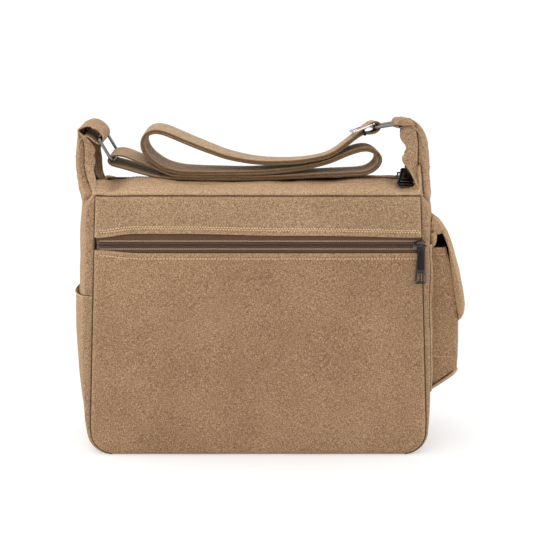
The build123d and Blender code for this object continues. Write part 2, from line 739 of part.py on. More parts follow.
with BuildPart() as strap_webbing:
    centre = catmull(STRAP_RUN, 3) + [strap_end]
    left_side = offset_points(centre, WEB_T)
    right_side = offset_points(centre, -WEB_T)
    with BuildSketch(at_y(WEB_FRONT)):
        with BuildLine():
            Polyline(*left_side, *reversed(right_side), close=True)
        make_face()
        with BuildLine():
            Polyline(*LEFT_LOOP_OUTER, close=True)
        make_face()
        with BuildLine():
            Polyline(*LEFT_LOOP_INNER, close=True)
        make_face(mode=Mode.SUBTRACT)
    extrude(amount=WEB_W)
    right_loop_place = Plane(
        origin=(RIGHT_LOWER[0], WEB_FRONT, RIGHT_LOWER[1]),
        x_dir=(along_x, 0, along_z),
        z_dir=(0, -1, 0),
    )
    with BuildSketch(right_loop_place):
        with BuildLine():
            Polyline(*RIGHT_LOOP_OUTER, close=True)
        make_face()
        with BuildLine():
            Polyline(*RIGHT_LOOP_INNER, close=True)
        make_face(mode=Mode.SUBTRACT)
    extrude(amount=WEB_W)
keep_leaning("strap_webbing", strap_webbing)

# three-bar adjuster: two outer bars above the webbing, the middle bar below it
ADJUSTER_AT = 24.5           # distance along the straight part
ADJUSTER_SIDE_Y = WEB_W / 2 + 1.9
ADJUSTER_BAR_HALF_L = WEB_W / 2 + 1.0
ADJUSTER_BARS = [(-8.4, WEB_T + 1.9), (8.4, WEB_T + 1.9), (0, -WEB_T - 1.6)]  # (along, above)
adjuster_place = Plane(
    origin=(straight_x + ADJUSTER_AT * along_x, STRAP_Y, straight_z + ADJUSTER_AT * along_z),
    x_dir=(along_x, 0, along_z),
    z_dir=(-along_z, 0, along_x),
)
with BuildPart() as strap_slider:
    for y in (ADJUSTER_SIDE_Y, -ADJUSTER_SIDE_Y):
        with BuildSketch(local_xz(adjuster_place, 0, y, 0)):
            with Locations((0, 0.6)):
                RectangleRounded(20.0, 7.6, 2.4)
        extrude(amount=1.4, both=True)
    for x, z in ADJUSTER_BARS:
        with BuildSketch(local_xz(adjuster_place, x, ADJUSTER_BAR_HALF_L, z)):
            Circle(1.3)
        extrude(amount=2 * ADJUSTER_BAR_HALF_L)
keep_leaning("strap_slider", strap_slider)
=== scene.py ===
# A canvas shoulder bag with a rear zip pocket, a main zip along the top, a slip pocket on the
# left gusset, a phone pocket with a flap on the right one and a flapped pocket on the front.
# The gussets rise into folded ears that hold two rings and a doubled webbing strap.
# x runs along the width (left is -x), the rear wall faces -y, the front +y, the base is at z = 0.
# Numbers are millimetres and are scaled to metres when a mesh is made.
import math

import bpy
import numpy as np
from mathutils import Matrix, Vector, noise as mnoise
from mathutils.bvhtree import BVHTree


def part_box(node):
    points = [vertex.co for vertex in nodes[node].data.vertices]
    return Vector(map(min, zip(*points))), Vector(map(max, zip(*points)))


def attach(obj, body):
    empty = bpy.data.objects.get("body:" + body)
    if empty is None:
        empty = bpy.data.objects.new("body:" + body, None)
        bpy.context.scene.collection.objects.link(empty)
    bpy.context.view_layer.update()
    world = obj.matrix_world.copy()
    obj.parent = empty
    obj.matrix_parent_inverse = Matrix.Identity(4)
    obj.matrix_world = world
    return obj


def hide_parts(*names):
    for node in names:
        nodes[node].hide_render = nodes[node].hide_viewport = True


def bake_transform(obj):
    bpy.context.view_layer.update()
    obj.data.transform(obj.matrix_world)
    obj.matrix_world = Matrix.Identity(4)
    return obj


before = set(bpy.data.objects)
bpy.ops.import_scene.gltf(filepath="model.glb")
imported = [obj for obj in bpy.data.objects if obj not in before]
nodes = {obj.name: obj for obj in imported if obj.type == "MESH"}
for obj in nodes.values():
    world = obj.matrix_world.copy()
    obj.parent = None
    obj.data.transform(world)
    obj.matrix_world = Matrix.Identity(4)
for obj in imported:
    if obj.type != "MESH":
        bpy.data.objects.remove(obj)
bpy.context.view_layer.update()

scene = bpy.context.scene

# --------------------------------------------------------------------------
# dimensions shared with the frame
# --------------------------------------------------------------------------
MM = 0.001
SEAM_Z = 270.0                        # top of the walls
HALF_TOP, HALF_LOW = 161.0, 173.5     # half widths at the seam and at LOW_Z
LOW_Z = 36.0
CORNER_R = 24.0
HALF_DEPTH = 55.0
REAR_ZIP_Z, MAIN_ZIP_Z = 220.0, 281.2
STRAP_Y = -6.0                        # middle of the strap, ears and rings
LEFT_BAR = (-160.0, 327.0)            # (x, z) of the rings' upper bars
RIGHT_BAR, RIGHT_LOW_BAR = (142.8, 339.1), (118.0, 331.5)
LEAN = math.radians(9.0)              # lean of the strap about the upper bars
TWIST = 0.05                          # share of that lean left at the right-hand ring
RING_TURN = math.radians(-8.0)        # the right-hand ring lies flatter than in the frame

CENTRE = (0, 0, 135)
UNDER_TOP = (0, 0, 200)
FRONTWARD, REARWARD = (0, 1, 0), (0, -1, 0)
LEFTWARD, RIGHTWARD, DOWN = (-1, 0, 0), (1, 0, 0), (0, 0, -1)
ENDS = ((-1, "rear"), (1, "front"))   # sign of y and its name


# --------------------------------------------------------------------------
# curves and small maths
# --------------------------------------------------------------------------
def half_width(z):
    return HALF_LOW - (z - LOW_Z) * (HALF_LOW - HALF_TOP) / (SEAM_Z - LOW_Z)


def corner_width(z):
    """Half width of the wall outline, with its rounded lower corners."""
    z = max(z, 0.0)
    if z >= CORNER_R:
        return half_width(max(z, LOW_Z))
    return HALF_LOW - CORNER_R + math.sqrt(max(CORNER_R**2 - (CORNER_R - z) ** 2, 0.0))


def smooth(t):
    t = min(max(t, 0.0), 1.0)
    return t * t * (3 - 2 * t)


def between(first, second, share):
    return np.array(first) * (1 - share) + np.array(second) * share


def unit(vectors):
    return vectors / np.linalg.norm(vectors, axis=-1, keepdims=True)


def turned(x, z, angle):
    return x * math.cos(angle) - z * math.sin(angle), x * math.sin(angle) + z * math.cos(angle)


def lean(points, share=1.0):
    """Turn points about the line through both rings' upper bars."""
    points = np.asarray(points, float)
    axis = unit(np.array([RIGHT_BAR[0] - LEFT_BAR[0], 0.0, RIGHT_BAR[1] - LEFT_BAR[1]]))
    origin = np.array([LEFT_BAR[0], STRAP_Y, LEFT_BAR[1]])
    angle = np.broadcast_to(LEAN * np.asarray(share, float), points.shape[:-1])[..., None]
    arm = points - origin
    along = axis * (arm @ axis)[..., None]
    return origin + arm * np.cos(angle) + np.cross(axis, arm) * np.sin(angle) \
        + along * (1 - np.cos(angle))


def catmull(points, steps=6, closed=False):
    """Catmull-Rom curve through points, with a number of steps per span."""
    points = np.array(points, float)
    count = len(points)
    curve = []
    for i in range(count if closed else count - 1):
        ids = np.arange(i - 1, i + 3)
        ids = ids % count if closed else np.clip(ids, 0, count - 1)
        before, start, end, after = points[ids]
        for k in range(steps):
            t = k / steps
            curve.append(0.5 * (2 * start + (end - before) * t
                                + (2 * before - 5 * start + 4 * end - after) * t * t
                                + (3 * start - before - 3 * end + after) * t**3))
    if not closed:
        curve.append(points[-1])
    return np.array(curve)


def resample(path, step=None, count=None, closed=False):
    """Even spacing along a polyline."""
    path = np.asarray(path, float)
    if closed:
        path = np.vstack([path, path[:1]])
    run = np.r_[0, np.cumsum(np.linalg.norm(np.diff(path, axis=0), axis=1))]
    if count is None:
        count = max(int(round(run[-1] / step)), 2) + (0 if closed else 1)
    at = np.linspace(0, run[-1], count, endpoint=not closed)
    return np.stack([np.interp(at, run, column) for column in path.T], 1)


def tangents(path, closed=False):
    if closed:
        return unit(np.roll(path, -1, 0) - np.roll(path, 1, 0))
    return unit(np.gradient(path, axis=0))


def plane_normals(path, closed=False):
    """Left-hand normals of a path in a plane."""
    along = tangents(path, closed)
    return np.column_stack([-along[:, 1], along[:, 0]])


def mirrored(half):
    """Both sides of a section whose points are (distance from the middle, other)."""
    return [(-side, other) for side, other in half] + [p for p in half[::-1] if p[0] != 0]


def eased(count):
    """Stations from -1 to 1, closer together at the ends."""
    return [math.sin(math.pi / 2 * (-1 + 2 * j / (count - 1))) for j in range(count)]


def cloth_noise(point, size, seed):
    """Two octaves of smooth noise in about -1..1; size is the feature size."""
    place = Vector((point[0] / size + seed * 7.13,
                    point[1] / size - seed * 3.7,
                    point[2] / size + seed * 1.9))
    return 1.6 * (mnoise.noise(place) + 0.5 * mnoise.noise(place * 2.07)) / 1.5


def edge_roll(distance, radius, depth):
    """Drop of a surface as it rolls over its edge, by distance in from the edge."""
    if distance >= radius:
        return 0.0
    return depth * (1 - math.sqrt(max(1 - (1 - max(distance, 0.0) / radius) ** 2, 0.0)))


# --------------------------------------------------------------------------
# materials
# --------------------------------------------------------------------------
def srgb(*levels):
    """Linear colour from 0..255 display levels."""
    def linear(level):
        level /= 255.0
        return level / 12.92 if level <= 0.04045 else ((level + 0.055) / 1.055) ** 2.4

    return tuple(linear(level) for level in levels) + (1.0,)


class Nodes:
    """Short ways to add shader nodes to a material or a world."""

    def __init__(self, owner, clear=True):
        owner.use_nodes = True
        self.tree = owner.node_tree
        if clear:
            self.tree.nodes.clear()

    def new(self, kind, **values):
        """_name sets a property, i0 an input by number, Some_Name an input by name."""
        node = self.tree.nodes.new("ShaderNode" + kind)
        for key, value in values.items():
            if key[0] == "_":
                setattr(node, key[1:], value)
            elif key[0] == "i":
                self.put(node.inputs[int(key[1:])], value)
            else:
                self.put(node.inputs[key.replace("_", " ")], value)
        return node

    def put(self, socket, value):
        if isinstance(value, bpy.types.NodeSocket):
            self.tree.links.new(value, socket)
        else:
            socket.default_value = value

    def math(self, operation, first, second=0.0, third=None):
        node = self.new("Math", _operation=operation, i0=first, i1=second)
        if third is not None:
            self.put(node.inputs[2], third)
        return node.outputs[0]

    def vary(self, source, amount, base):
        """base + amount * (source - 0.5)"""
        return self.math("MULTIPLY_ADD", self.math("SUBTRACT", source, 0.5), amount, base)

    def mix(self, share, first, second):
        node = self.new("Mix", _data_type="RGBA", i0=share, i6=first, i7=second)
        return node.outputs[2]

    def ramp(self, source, stops):
        node = self.tree.nodes.new("ShaderNodeValToRGB")
        elements = node.color_ramp.elements
        while len(elements) < len(stops):
            elements.new(0.5)
        for element, (position, colour) in zip(elements, stops):
            element.position, element.color = position, colour
        self.put(node.inputs[0], source)
        return node.outputs[0]

    def noise(self, vector, scale, detail=2.0, rough=0.5):
        node = self.new("TexNoise", Scale=scale, Detail=detail, Roughness=rough, Vector=vector)
        return node.outputs["Fac"]

    def position(self):
        return self.new("TexCoord").outputs["Object"]

    def pointiness(self):
        return self.new("NewGeometry").outputs["Pointiness"]


class Surface(Nodes):
    """A material with one Principled shader."""

    def __init__(self, name):
        self.material = bpy.data.materials.new(name)
        super().__init__(self.material)
        output = self.new("OutputMaterial")
        self.shader = self.new("BsdfPrincipled")
        self.put(output.inputs[0], self.shader.outputs[0])

    def finish(self, **values):
        for key, value in values.items():
            self.put(self.shader.inputs[key.replace("_", " ")], value)
        return self.material

    def bump(self, strength, distance, height):
        node = self.new("Bump", Strength=strength, Distance=distance, Height=height)
        return node.outputs[0]


def face_coordinates(cloth):
    """Position, and two in-surface coordinates picked by the facing direction."""
    coordinates = cloth.new("TexCoord")
    place = cloth.new("SeparateXYZ", Vector=coordinates.outputs["Object"])
    facing = cloth.new("SeparateXYZ", Vector=coordinates.outputs["Normal"])
    to_x, to_y, to_z = (cloth.math("ABSOLUTE", facing.outputs[i]) for i in range(3))
    faces_x = cloth.math("GREATER_THAN", to_x, cloth.math("MAXIMUM", to_y, to_z))
    faces_z = cloth.math("GREATER_THAN", to_z, cloth.math("MAXIMUM", to_x, to_y))

    def pick(flag, no, yes):
        return cloth.math("ADD", cloth.math("MULTIPLY", flag, yes),
                          cloth.math("MULTIPLY", cloth.math("SUBTRACT", 1.0, flag), no))

    along = pick(faces_x, place.outputs[0], place.outputs[1])
    up = pick(faces_z, place.outputs[2], place.outputs[1])
    return coordinates.outputs["Object"], along, up


def woven(name, dark, mid, light, twill=False, pitch=1.5, bump=0.5, fleck=1.0):
    """Cloth in three linear shades; pitch is the weave's wave length, fleck the speckle."""
    cloth = Surface(name)
    place, along, up = face_coordinates(cloth)
    fine = cloth.noise(place, scale=1500.0, rough=0.6)
    coarse = cloth.noise(place, scale=760.0, rough=0.6)
    cloudy = cloth.noise(place, scale=14.0, detail=3.0, rough=0.55)

    def slubs(along_scale, up_scale, offset):
        """Short streaks along one thread direction."""
        streak = cloth.new("CombineXYZ", X=cloth.math("MULTIPLY", along, along_scale),
                           Y=cloth.math("MULTIPLY", up, up_scale), Z=offset)
        return cloth.noise(streak.outputs[0], scale=1.0, detail=1.0)

    slubs_along = slubs(260.0, 1500.0, offset=3.0)
    slubs_up = slubs(1500.0, 260.0, offset=9.0)
    wave = 2.0 * math.pi / (pitch * MM)
    if twill:
        diagonal = cloth.math("ADD", along, cloth.math("MULTIPLY", up, 0.8))
        weave = cloth.math("SINE", cloth.math("MULTIPLY", diagonal, wave))
    else:
        weave = cloth.math("MULTIPLY", *(cloth.math("SINE", cloth.math("MULTIPLY", way, wave))
                                         for way in (along, up)))
    tone = cloth.vary(fine, amount=1.5 * fleck, base=0.5)
    tone = cloth.vary(coarse, amount=0.9 * fleck, base=tone)
    tone = cloth.vary(slubs_along, amount=0.55 * fleck, base=tone)
    tone = cloth.vary(slubs_up, amount=0.55 * fleck, base=tone)
    tone = cloth.vary(cloudy, amount=0.30, base=tone)
    tone = cloth.math("MULTIPLY_ADD", weave, 0.10 if twill else 0.05, tone)
    # raised edges are painted lighter as wear, and hollows and creases darker as shade
    worn_and_hollow_shade = cloth.math("MULTIPLY", cloth.math("SUBTRACT", cloth.pointiness(), 0.5), 1.6)
    tone = cloth.math("ADD", tone, worn_and_hollow_shade)
    height = cloth.math("MULTIPLY_ADD", fine, 1.3, cloth.math("ADD", slubs_along, slubs_up))
    height = cloth.math("MULTIPLY_ADD", weave, 0.35, height)
    return cloth.finish(
        Base_Color=cloth.ramp(tone, [(0.12, dark), (0.5, mid), (0.86, light)]),
        Roughness=0.93, Specular_IOR_Level=0.15,
        Sheen_Weight=0.22, Sheen_Roughness=0.45, Sheen_Tint=light,
        Normal=cloth.bump(strength=bump, distance=0.00035, height=height))


def canvas(name, *shades, **weave):
    return woven(name, *(srgb(*shade) for shade in shades), **weave)


def plain_cloth(name, mid, light, pitch=0.9):
    mid = srgb(*mid)
    dark = tuple(level * 0.7 for level in mid[:3]) + (1,)
    return woven(name, dark, mid, srgb(*light), pitch=pitch, bump=0.3, fleck=0.5)


def metal(name, colour, edge_highlight_colour, rough):
    """Slightly scratched metal, with a highlight painted along its edges."""
    piece = Surface(name)
    place = piece.position()
    fine = piece.noise(place, scale=900.0, detail=4.0, rough=0.6)
    broad = piece.noise(place, scale=160.0)
    edge = piece.math("MULTIPLY", piece.math("SUBTRACT", piece.pointiness(), 0.52), 9.0)
    edge = piece.math("MINIMUM", piece.math("MAXIMUM", edge, 0.0), 1.0)
    roughness = piece.vary(broad, amount=0.125, base=piece.vary(fine, amount=0.175, base=rough))
    return piece.finish(Base_Color=piece.mix(edge, colour + (1,), edge_highlight_colour + (1,)),
                        Metallic=1.0, Roughness=roughness,
                        Normal=piece.bump(strength=0.04, distance=0.0001, height=fine))


def webbing(name):
    """Herringbone webbing: u runs along the strap, v across it (both in metres)."""
    rib, zigzag, shaded_ply_edge = 0.0024, 0.0095, 0.0186
    web = Surface(name)
    run = web.new("SeparateXYZ", Vector=web.new("UVMap").outputs[0])
    along, across = run.outputs[0], run.outputs[1]
    place = web.position()
    zig = web.math("FRACT", web.math("MULTIPLY", across, 1 / zigzag))
    zig = web.math("ABSOLUTE", web.math("SUBTRACT", zig, 0.5))
    weave = web.math("SINE", web.math("ADD", web.math("MULTIPLY", along, 2 * math.pi / rib),
                                      web.math("MULTIPLY", zig, 18.0)))
    fine = web.noise(place, scale=900.0, rough=0.6)
    broad = web.noise(place, scale=90.0, rough=0.6)
    tone = web.math("MULTIPLY_ADD", weave, 0.16, 0.5)
    tone = web.vary(broad, amount=0.5, base=web.vary(fine, amount=1.5, base=tone))
    colour = web.ramp(tone, [(0.1, srgb(116, 90, 63)), (0.5, srgb(157, 128, 95)),
                             (0.9, srgb(190, 163, 127))])
    # the strip along each edge of a ply is painted dark as the shade between the plies
    edge = web.math("GREATER_THAN", web.math("ABSOLUTE", across), shaded_ply_edge)
    height = web.math("MULTIPLY_ADD", fine, 0.6, weave)
    return web.finish(Base_Color=web.mix(edge, colour, srgb(112, 85, 60)),
                      Roughness=0.9, Specular_IOR_Level=0.15, Sheen_Weight=0.2,
                      Normal=web.bump(strength=0.5, distance=0.0003, height=height))


def plastic(name, scale, dark, light, rough):
    piece = Surface(name)
    mottle = piece.noise(piece.position(), scale=scale)
    return piece.finish(Base_Color=piece.ramp(mottle, [(0.3, dark), (0.7, light)]),
                        Roughness=rough)


# shades are dark, middle, light in display levels
CANVAS = canvas("canvas_back", (100, 74, 51), (144, 112, 84), (188, 158, 126))
# gussets, ears, base and slip pocket: a copy of the canvas painted a little lighter, as lit from
# the sides
SIDE_LIT_CANVAS = canvas("canvas_side_lit", (104, 79, 57), (149, 119, 91), (190, 162, 132))
# band over the rear zip: a copy of the canvas painted lighter, as lit from above
BAND_LIT_CANVAS = canvas("canvas_band_lit", (106, 80, 57), (150, 120, 91), (194, 166, 134))
# top panels, hems, rims and flanges: a copy of the canvas painted lighter, as lit from above
TOP_LIT_CANVAS = canvas("canvas_top_lit", (116, 90, 65), (161, 130, 100), (200, 172, 140))
FLAP_CANVAS = canvas("canvas_flap", (118, 90, 64), (160, 128, 96), (200, 170, 136),
                     twill=True, pitch=2.2, bump=0.6)
# dark brown for cords and cells painted into seams and creases as the shade in their grooves
SEAM_SHADE_CORD = canvas("seam_shade_cord", (44, 31, 21), (66, 48, 33), (96, 72, 50), fleck=0.5)
# near black, for the sheet under the flap and for the sheet painted as the shade in the gap
# beside the flap
FLAP_BLACK_AND_GAP_SHADE = canvas("flap_black_and_gap_shade", (10, 9, 8), (17, 15, 13), (26, 23, 20), fleck=0.4)
TAPE = plain_cloth("zip_tape_cloth", (92, 69, 53), (112, 87, 68))
TAPE_STITCH = plain_cloth("zip_tape_stitch", (170, 142, 120), (194, 166, 142))
LINING = plain_cloth("lining_cloth", (84, 74, 64), (104, 92, 80))
HOOK_PATCH = plain_cloth("hook_patch", (92, 72, 54), (112, 90, 70), pitch=1.6)
PALE_THREAD = canvas("thread_pale", (168, 141, 107), (194, 167, 130), (216, 192, 155),
                     fleck=0.4, bump=0.2)
THREAD = canvas("thread", (158, 129, 97), (188, 158, 122), (210, 184, 150),
                fleck=0.4, bump=0.2)
WEBBING = webbing("strap_webbing_cloth")
BLACK_NICKEL = metal("black_nickel", (0.022, 0.017, 0.015), (0.12, 0.10, 0.092), rough=0.30)
RING_WIRE = metal("ring_wire", (0.17, 0.158, 0.15), (0.5, 0.48, 0.46), rough=0.20)
NICKEL = metal("nickel", (0.62, 0.60, 0.60), (0.9, 0.88, 0.88), rough=0.22)
SNAP_METAL = metal("antique_snap", (0.20, 0.15, 0.09), (0.5, 0.42, 0.3), rough=0.4)
COIL = plastic("zip_coil_plastic", scale=1500.0, dark=srgb(66, 49, 38),
               light=srgb(100, 77, 61), rough=0.42)
BOARD = plastic("board_plastic", scale=300.0, dark=(0.02, 0.02, 0.02, 1),
                light=(0.035, 0.035, 0.035, 1), rough=0.6)


# --------------------------------------------------------------------------
# mesh helpers
# --------------------------------------------------------------------------
def add_object(name, mesh):
    thing = bpy.data.objects.new(name, mesh)
    scene.collection.objects.link(thing)
    return thing


def make(name, verts, faces, material, body="bag", uv=None):
    mesh = bpy.data.meshes.new(name)
    mesh.from_pydata((np.asarray(verts, float) * MM).tolist(), [], faces)
    mesh.materials.append(material)
    mesh.polygons.foreach_set("use_smooth", [True] * len(mesh.polygons))
    if uv is not None:
        layer = mesh.uv_layers.new(name="UVMap")
        corners = np.zeros(len(mesh.loops), int)
        mesh.loops.foreach_get("vertex_index", corners)
        layer.data.foreach_set("uv", np.asarray(uv, float)[corners].ravel())
    mesh.update()
    thing = add_object(name, mesh)
    if body:
        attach(thing, body)
    return thing


def grid_of(point, rows, columns):
    """Grid of points (rows, columns, 3) from point(row, column)."""
    return np.array([[point(row, column) for column in columns] for row in rows], float)


def grid_normals(grid):
    normals = np.cross(np.gradient(grid, axis=1), np.gradient(grid, axis=0))
    length = np.linalg.norm(normals, axis=2, keepdims=True)
    length[length < 1e-9] = 1
    return normals / length


def softened_normals(grid, passes):
    normals = grid_normals(grid)
    for _ in range(passes):
        wide = np.pad(normals, ((1, 1), (1, 1), (0, 0)), mode="edge")
        normals = (wide[1:-1, 1:-1] * 2 + wide[:-2, 1:-1] + wide[2:, 1:-1]
                   + wide[1:-1, :-2] + wide[1:-1, 2:])
        normals /= np.maximum(np.linalg.norm(normals, axis=2, keepdims=True), 1e-9)
    return normals


def wrinkled(grid, depth, size, seed, stretch=(1, 1, 1), edge=4, mask=None):
    """Move a grid along its normals by noise, fading out over edge cells at its rim."""
    normals = grid_normals(grid)
    rows, columns, _ = grid.shape
    stretch = np.array(stretch, float)
    result = grid.copy()
    for i in range(rows):
        for j in range(columns):
            weight = smooth(min(i, rows - 1 - i, j, columns - 1 - j) / edge)
            if mask is not None:
                weight *= mask(grid[i, j])
            if weight > 0:
                bump = cloth_noise(grid[i, j] * stretch, size, seed)
                result[i, j] += normals[i, j] * depth * weight * bump
    return result


def shell(outer, thickness, soften):
    """Outer face thickened inwards, with a rounded rim."""
    rows, columns, _ = outer.shape
    normals = softened_normals(outer, soften)
    inner = outer - normals * thickness
    layer = rows * columns
    faces = []
    for i in range(rows - 1):
        for j in range(columns - 1):
            a = i * columns + j
            quad = (a, a + 1, a + columns + 1, a + columns)
            faces.append(quad)
            faces.append(tuple(layer + quad[k] for k in (0, 3, 2, 1)))
    rim = [(0, j) for j in range(columns)] + [(i, columns - 1) for i in range(1, rows)]
    rim += [(rows - 1, j) for j in range(columns - 2, -1, -1)]
    rim += [(i, 0) for i in range(rows - 2, 0, -1)]
    middles = []
    for i, j in rim:
        inward = min(max(i, 1), rows - 2), min(max(j, 1), columns - 2)
        out = outer[i, j] - outer[inward]
        out -= normals[i, j] * np.dot(out, normals[i, j])
        length = np.linalg.norm(out)
        if length > 1e-9:
            out = out / length
        middles.append((outer[i, j] + inner[i, j]) / 2 + out * thickness * 0.42)
    for k in range(len(rim)):
        after = (k + 1) % len(rim)
        here, there = (rim[n][0] * columns + rim[n][1] for n in (k, after))
        mid_here, mid_there = 2 * layer + k, 2 * layer + after
        faces.append((here, mid_here, mid_there, there))
        faces.append((mid_here, layer + here, layer + there, mid_there))
    return np.vstack([outer.reshape(-1, 3), inner.reshape(-1, 3), np.array(middles)]), faces


def sheet(name, grid, inside, material, thickness, body="bag", soften=0):
    """Thickened cloth whose outer face looks away from the point inside."""
    if np.sum((grid - np.asarray(inside, float)) * grid_normals(grid)) < 0:
        grid = grid[:, ::-1]
    verts, faces = shell(grid, thickness, soften)
    return make(name, verts, faces, material, body)


def ring_points(centre, first, second, radius, sides):
    angles = [2 * math.pi * k / sides for k in range(sides)]
    return [centre + radius * (first * math.cos(a) + second * math.sin(a)) for a in angles]


def ring_faces(rings, sides, closed=False, start=0):
    """Quads between successive rings of vertices, with end caps unless closed."""
    faces = []
    for i in range(rings if closed else rings - 1):
        here, there = start + i * sides, start + (i + 1) % rings * sides
        for k in range(sides):
            after = (k + 1) % sides
            faces.append((here + k, here + after, there + after, there + k))
    if not closed:
        last = start + (rings - 1) * sides
        faces.append(tuple(range(start + sides - 1, start - 1, -1)))
        faces.append(tuple(range(last, last + sides)))
    return faces


def tube(name, path, radius, material=SEAM_SHADE_CORD, sides=6, body="bag"):
    """Round cord along a polyline; by default a dark cord painted as seam shade."""
    path = np.asarray(path, float)
    along = tangents(path)
    up = np.array([0.0, 1.0, 0.0]) if abs(along[0][1]) < 0.9 else np.array([1.0, 0, 0])
    verts = []
    for centre, forward in zip(path, along):
        first = unit(np.cross(forward, up))
        up = np.cross(first, forward)
        verts += ring_points(centre, first, np.cross(forward, first), radius, sides)
    return make(name, verts, ring_faces(len(path), sides), material, body)


def rod(path, radius, sides, flat=1.0, closed=False):
    """Vertices and faces of a bar, squashed by flat in the upright direction."""
    path = np.asarray(path, float)
    verts = []
    for centre, forward in zip(path, tangents(path, closed)):
        first = unit(np.cross(forward, np.array([0, 0, 1.0])))
        verts += ring_points(centre, first, np.cross(first, forward) * flat, radius, sides)
    return verts, ring_faces(len(path), sides, closed)


def bake(thing):
    """Apply an object's modifiers."""
    graph = bpy.context.evaluated_depsgraph_get()
    graph.update()
    mesh = bpy.data.meshes.new_from_object(thing.evaluated_get(graph), depsgraph=graph)
    thing.modifiers.clear()
    old = thing.data
    thing.data = mesh
    mesh.polygons.foreach_set("use_smooth", [True] * len(mesh.polygons))
    bpy.data.meshes.remove(old)


def surface_tree(*things):
    verts, faces = [], []
    for thing in things:
        start = len(verts)
        verts += [thing.matrix_world @ v.co for v in thing.data.vertices]
        faces += [[i + start for i in p.vertices] for p in thing.data.polygons]
    return BVHTree.FromPolygons(verts, faces)


# stations of one stitch: share of the half length, share of the width
STITCH_STATIONS = ((-1.0, 0.25), (-0.72, 0.85), (0.0, 1.0), (0.72, 0.85), (1.0, 0.25))
STITCH_SIDES = 6
STITCH_SHAPE = np.array([
    (along, radius * math.cos(math.pi * k / 3), radius * math.sin(math.pi * k / 3))
    for along, radius in STITCH_STATIONS for k in range(STITCH_SIDES)])
STITCH_LIFT = 0.12


def stitches(name, lines, surfaces, direction, pitch=3.3, length=2.4, width=0.42,
             material=THREAD, body="bag"):
    """Rows of thread laid on surfaces; direction is the ray towards the cloth."""
    tree = surface_tree(*surfaces)
    ray = Vector(direction).normalized()
    verts, faces = [], []
    for line in lines:
        path = resample(line, step=pitch)
        for start, end in zip(path[:-1], path[1:]):
            origin = Vector((start + end) / 2 * MM) - ray * 0.02
            hit = tree.ray_cast(origin, ray, 0.05)
            if hit[0] is None:
                continue
            place, normal = np.array(hit[0]) / MM, np.array(hit[1])
            if np.dot(normal, np.array(ray)) > 0:
                normal = -normal
            along = unit(end - start)
            along = unit(along - normal * np.dot(along, normal))
            side = np.cross(normal, along)
            first = len(verts) * len(STITCH_SHAPE)
            verts.append(place + normal * STITCH_LIFT
                         + STITCH_SHAPE[:, :1] * along * length / 2
                         + STITCH_SHAPE[:, 1:2] * side * width
                         + STITCH_SHAPE[:, 2:3] * normal * width * 0.8)
            faces += ring_faces(len(STITCH_STATIONS), STITCH_SIDES, start=first)
    # lines that miss the cloth leave nothing to build
    if verts:
        make(name, np.vstack(verts), faces, material, body)


# --------------------------------------------------------------------------
# walls and base
# --------------------------------------------------------------------------
ACROSS = np.array([s * (1.42 - 0.42 * s * s) for s in np.linspace(-1, 1, 93)])
OPENING_LOW = 211.2      # lower edge of the rear zip opening over most of its length


def outline_distance(x, z):
    """Distance in from the side or lower edge of the wall outline."""
    middle = HALF_LOW - CORNER_R
    if abs(x) > middle and z < CORNER_R:
        return CORNER_R - math.hypot(abs(x) - middle, CORNER_R - z)
    return min(corner_width(z) - abs(x), z)


def opening_lower_edge(x):
    return OPENING_LOW + 3.2 * smooth((-118 - x) / 42)


def opening_upper_edge(x):
    return (230.4 + 2.0 * smooth((30 - x) / 110) - 4.0 * smooth((-122 - x) / 38)
            - 2.0 * smooth((x - 60) / 110))


def wall_heights(corner_steps, top, steps):
    turn = np.linspace(0.02, math.pi / 2, corner_steps)
    return np.concatenate([CORNER_R * (1 - np.cos(turn))[:-1],
                           np.linspace(CORNER_R, top, steps)])


def build_rear_wall():
    def point(z, across):
        x = across * corner_width(z)
        swell = 3.4 * (1 - across**4) * math.sin(math.pi * (z / 225.0)) ** 0.7
        y = -HALF_DEPTH - swell + edge_roll(outline_distance(x, z), 5.0, 4.6)
        return x, y, z + (opening_lower_edge(x) - OPENING_LOW) * smooth((z - 150) / 62)

    grid = grid_of(point, wall_heights(11, OPENING_LOW, 56), ACROSS)
    grid = wrinkled(grid, depth=0.9, size=55, seed=1.0, stretch=(1, 1, 0.7), edge=8)
    grid = wrinkled(grid, depth=0.35, size=16, seed=2.0, edge=6)
    wall = sheet("rear_wall", grid, CENTRE, CANVAS, 2.0)
    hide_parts("rear_pocket_wall")
    return wall


def build_rear_band():
    top = SEAM_Z - 1.0

    def point(rise, across):
        low = opening_upper_edge(across * half_width(250))
        z = low + (top - low) * rise
        x = across * half_width(z)
        y = (-HALF_DEPTH - 1.1 * (1 - across**4) * math.sin(math.pi * rise)
             - 0.9 * (1 - rise) ** 3 + edge_roll(min(half_width(z) - abs(x), top - z), 4.5, 4.6))
        return x, y, z

    grid = grid_of(point, 1 - (1 - np.linspace(0, 1, 33)) ** 1.25, ACROSS)
    grid = wrinkled(grid, depth=0.6, size=38, seed=3.0)
    band = sheet("rear_band", grid, CENTRE, BAND_LIT_CANVAS, 2.6)
    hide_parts("back_band")
    return band


def build_front_wall():
    def point(z, across):
        x = across * corner_width(z)
        swell = (1.6 * (1 - across**4) * math.sin(math.pi * z / SEAM_Z)
                 * (1 - smooth((z - 140) / 55)))
        return x, HALF_DEPTH + swell - edge_roll(
            min(outline_distance(x, z), SEAM_Z - z), 6.0, 3.6), z

    def mask(point):      # nearly flat behind the front pocket
        return 0.15 if abs(point[0]) < 122 and point[2] > 15 else 1.0

    grid = grid_of(point, wall_heights(10, SEAM_Z - 0.6, 60), ACROSS[::2])
    grid = wrinkled(grid, depth=0.7, size=50, seed=4.0, edge=6, mask=mask)
    wall = sheet("front_wall", grid, CENTRE, CANVAS, 2.0)
    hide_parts("front_panel")
    return wall


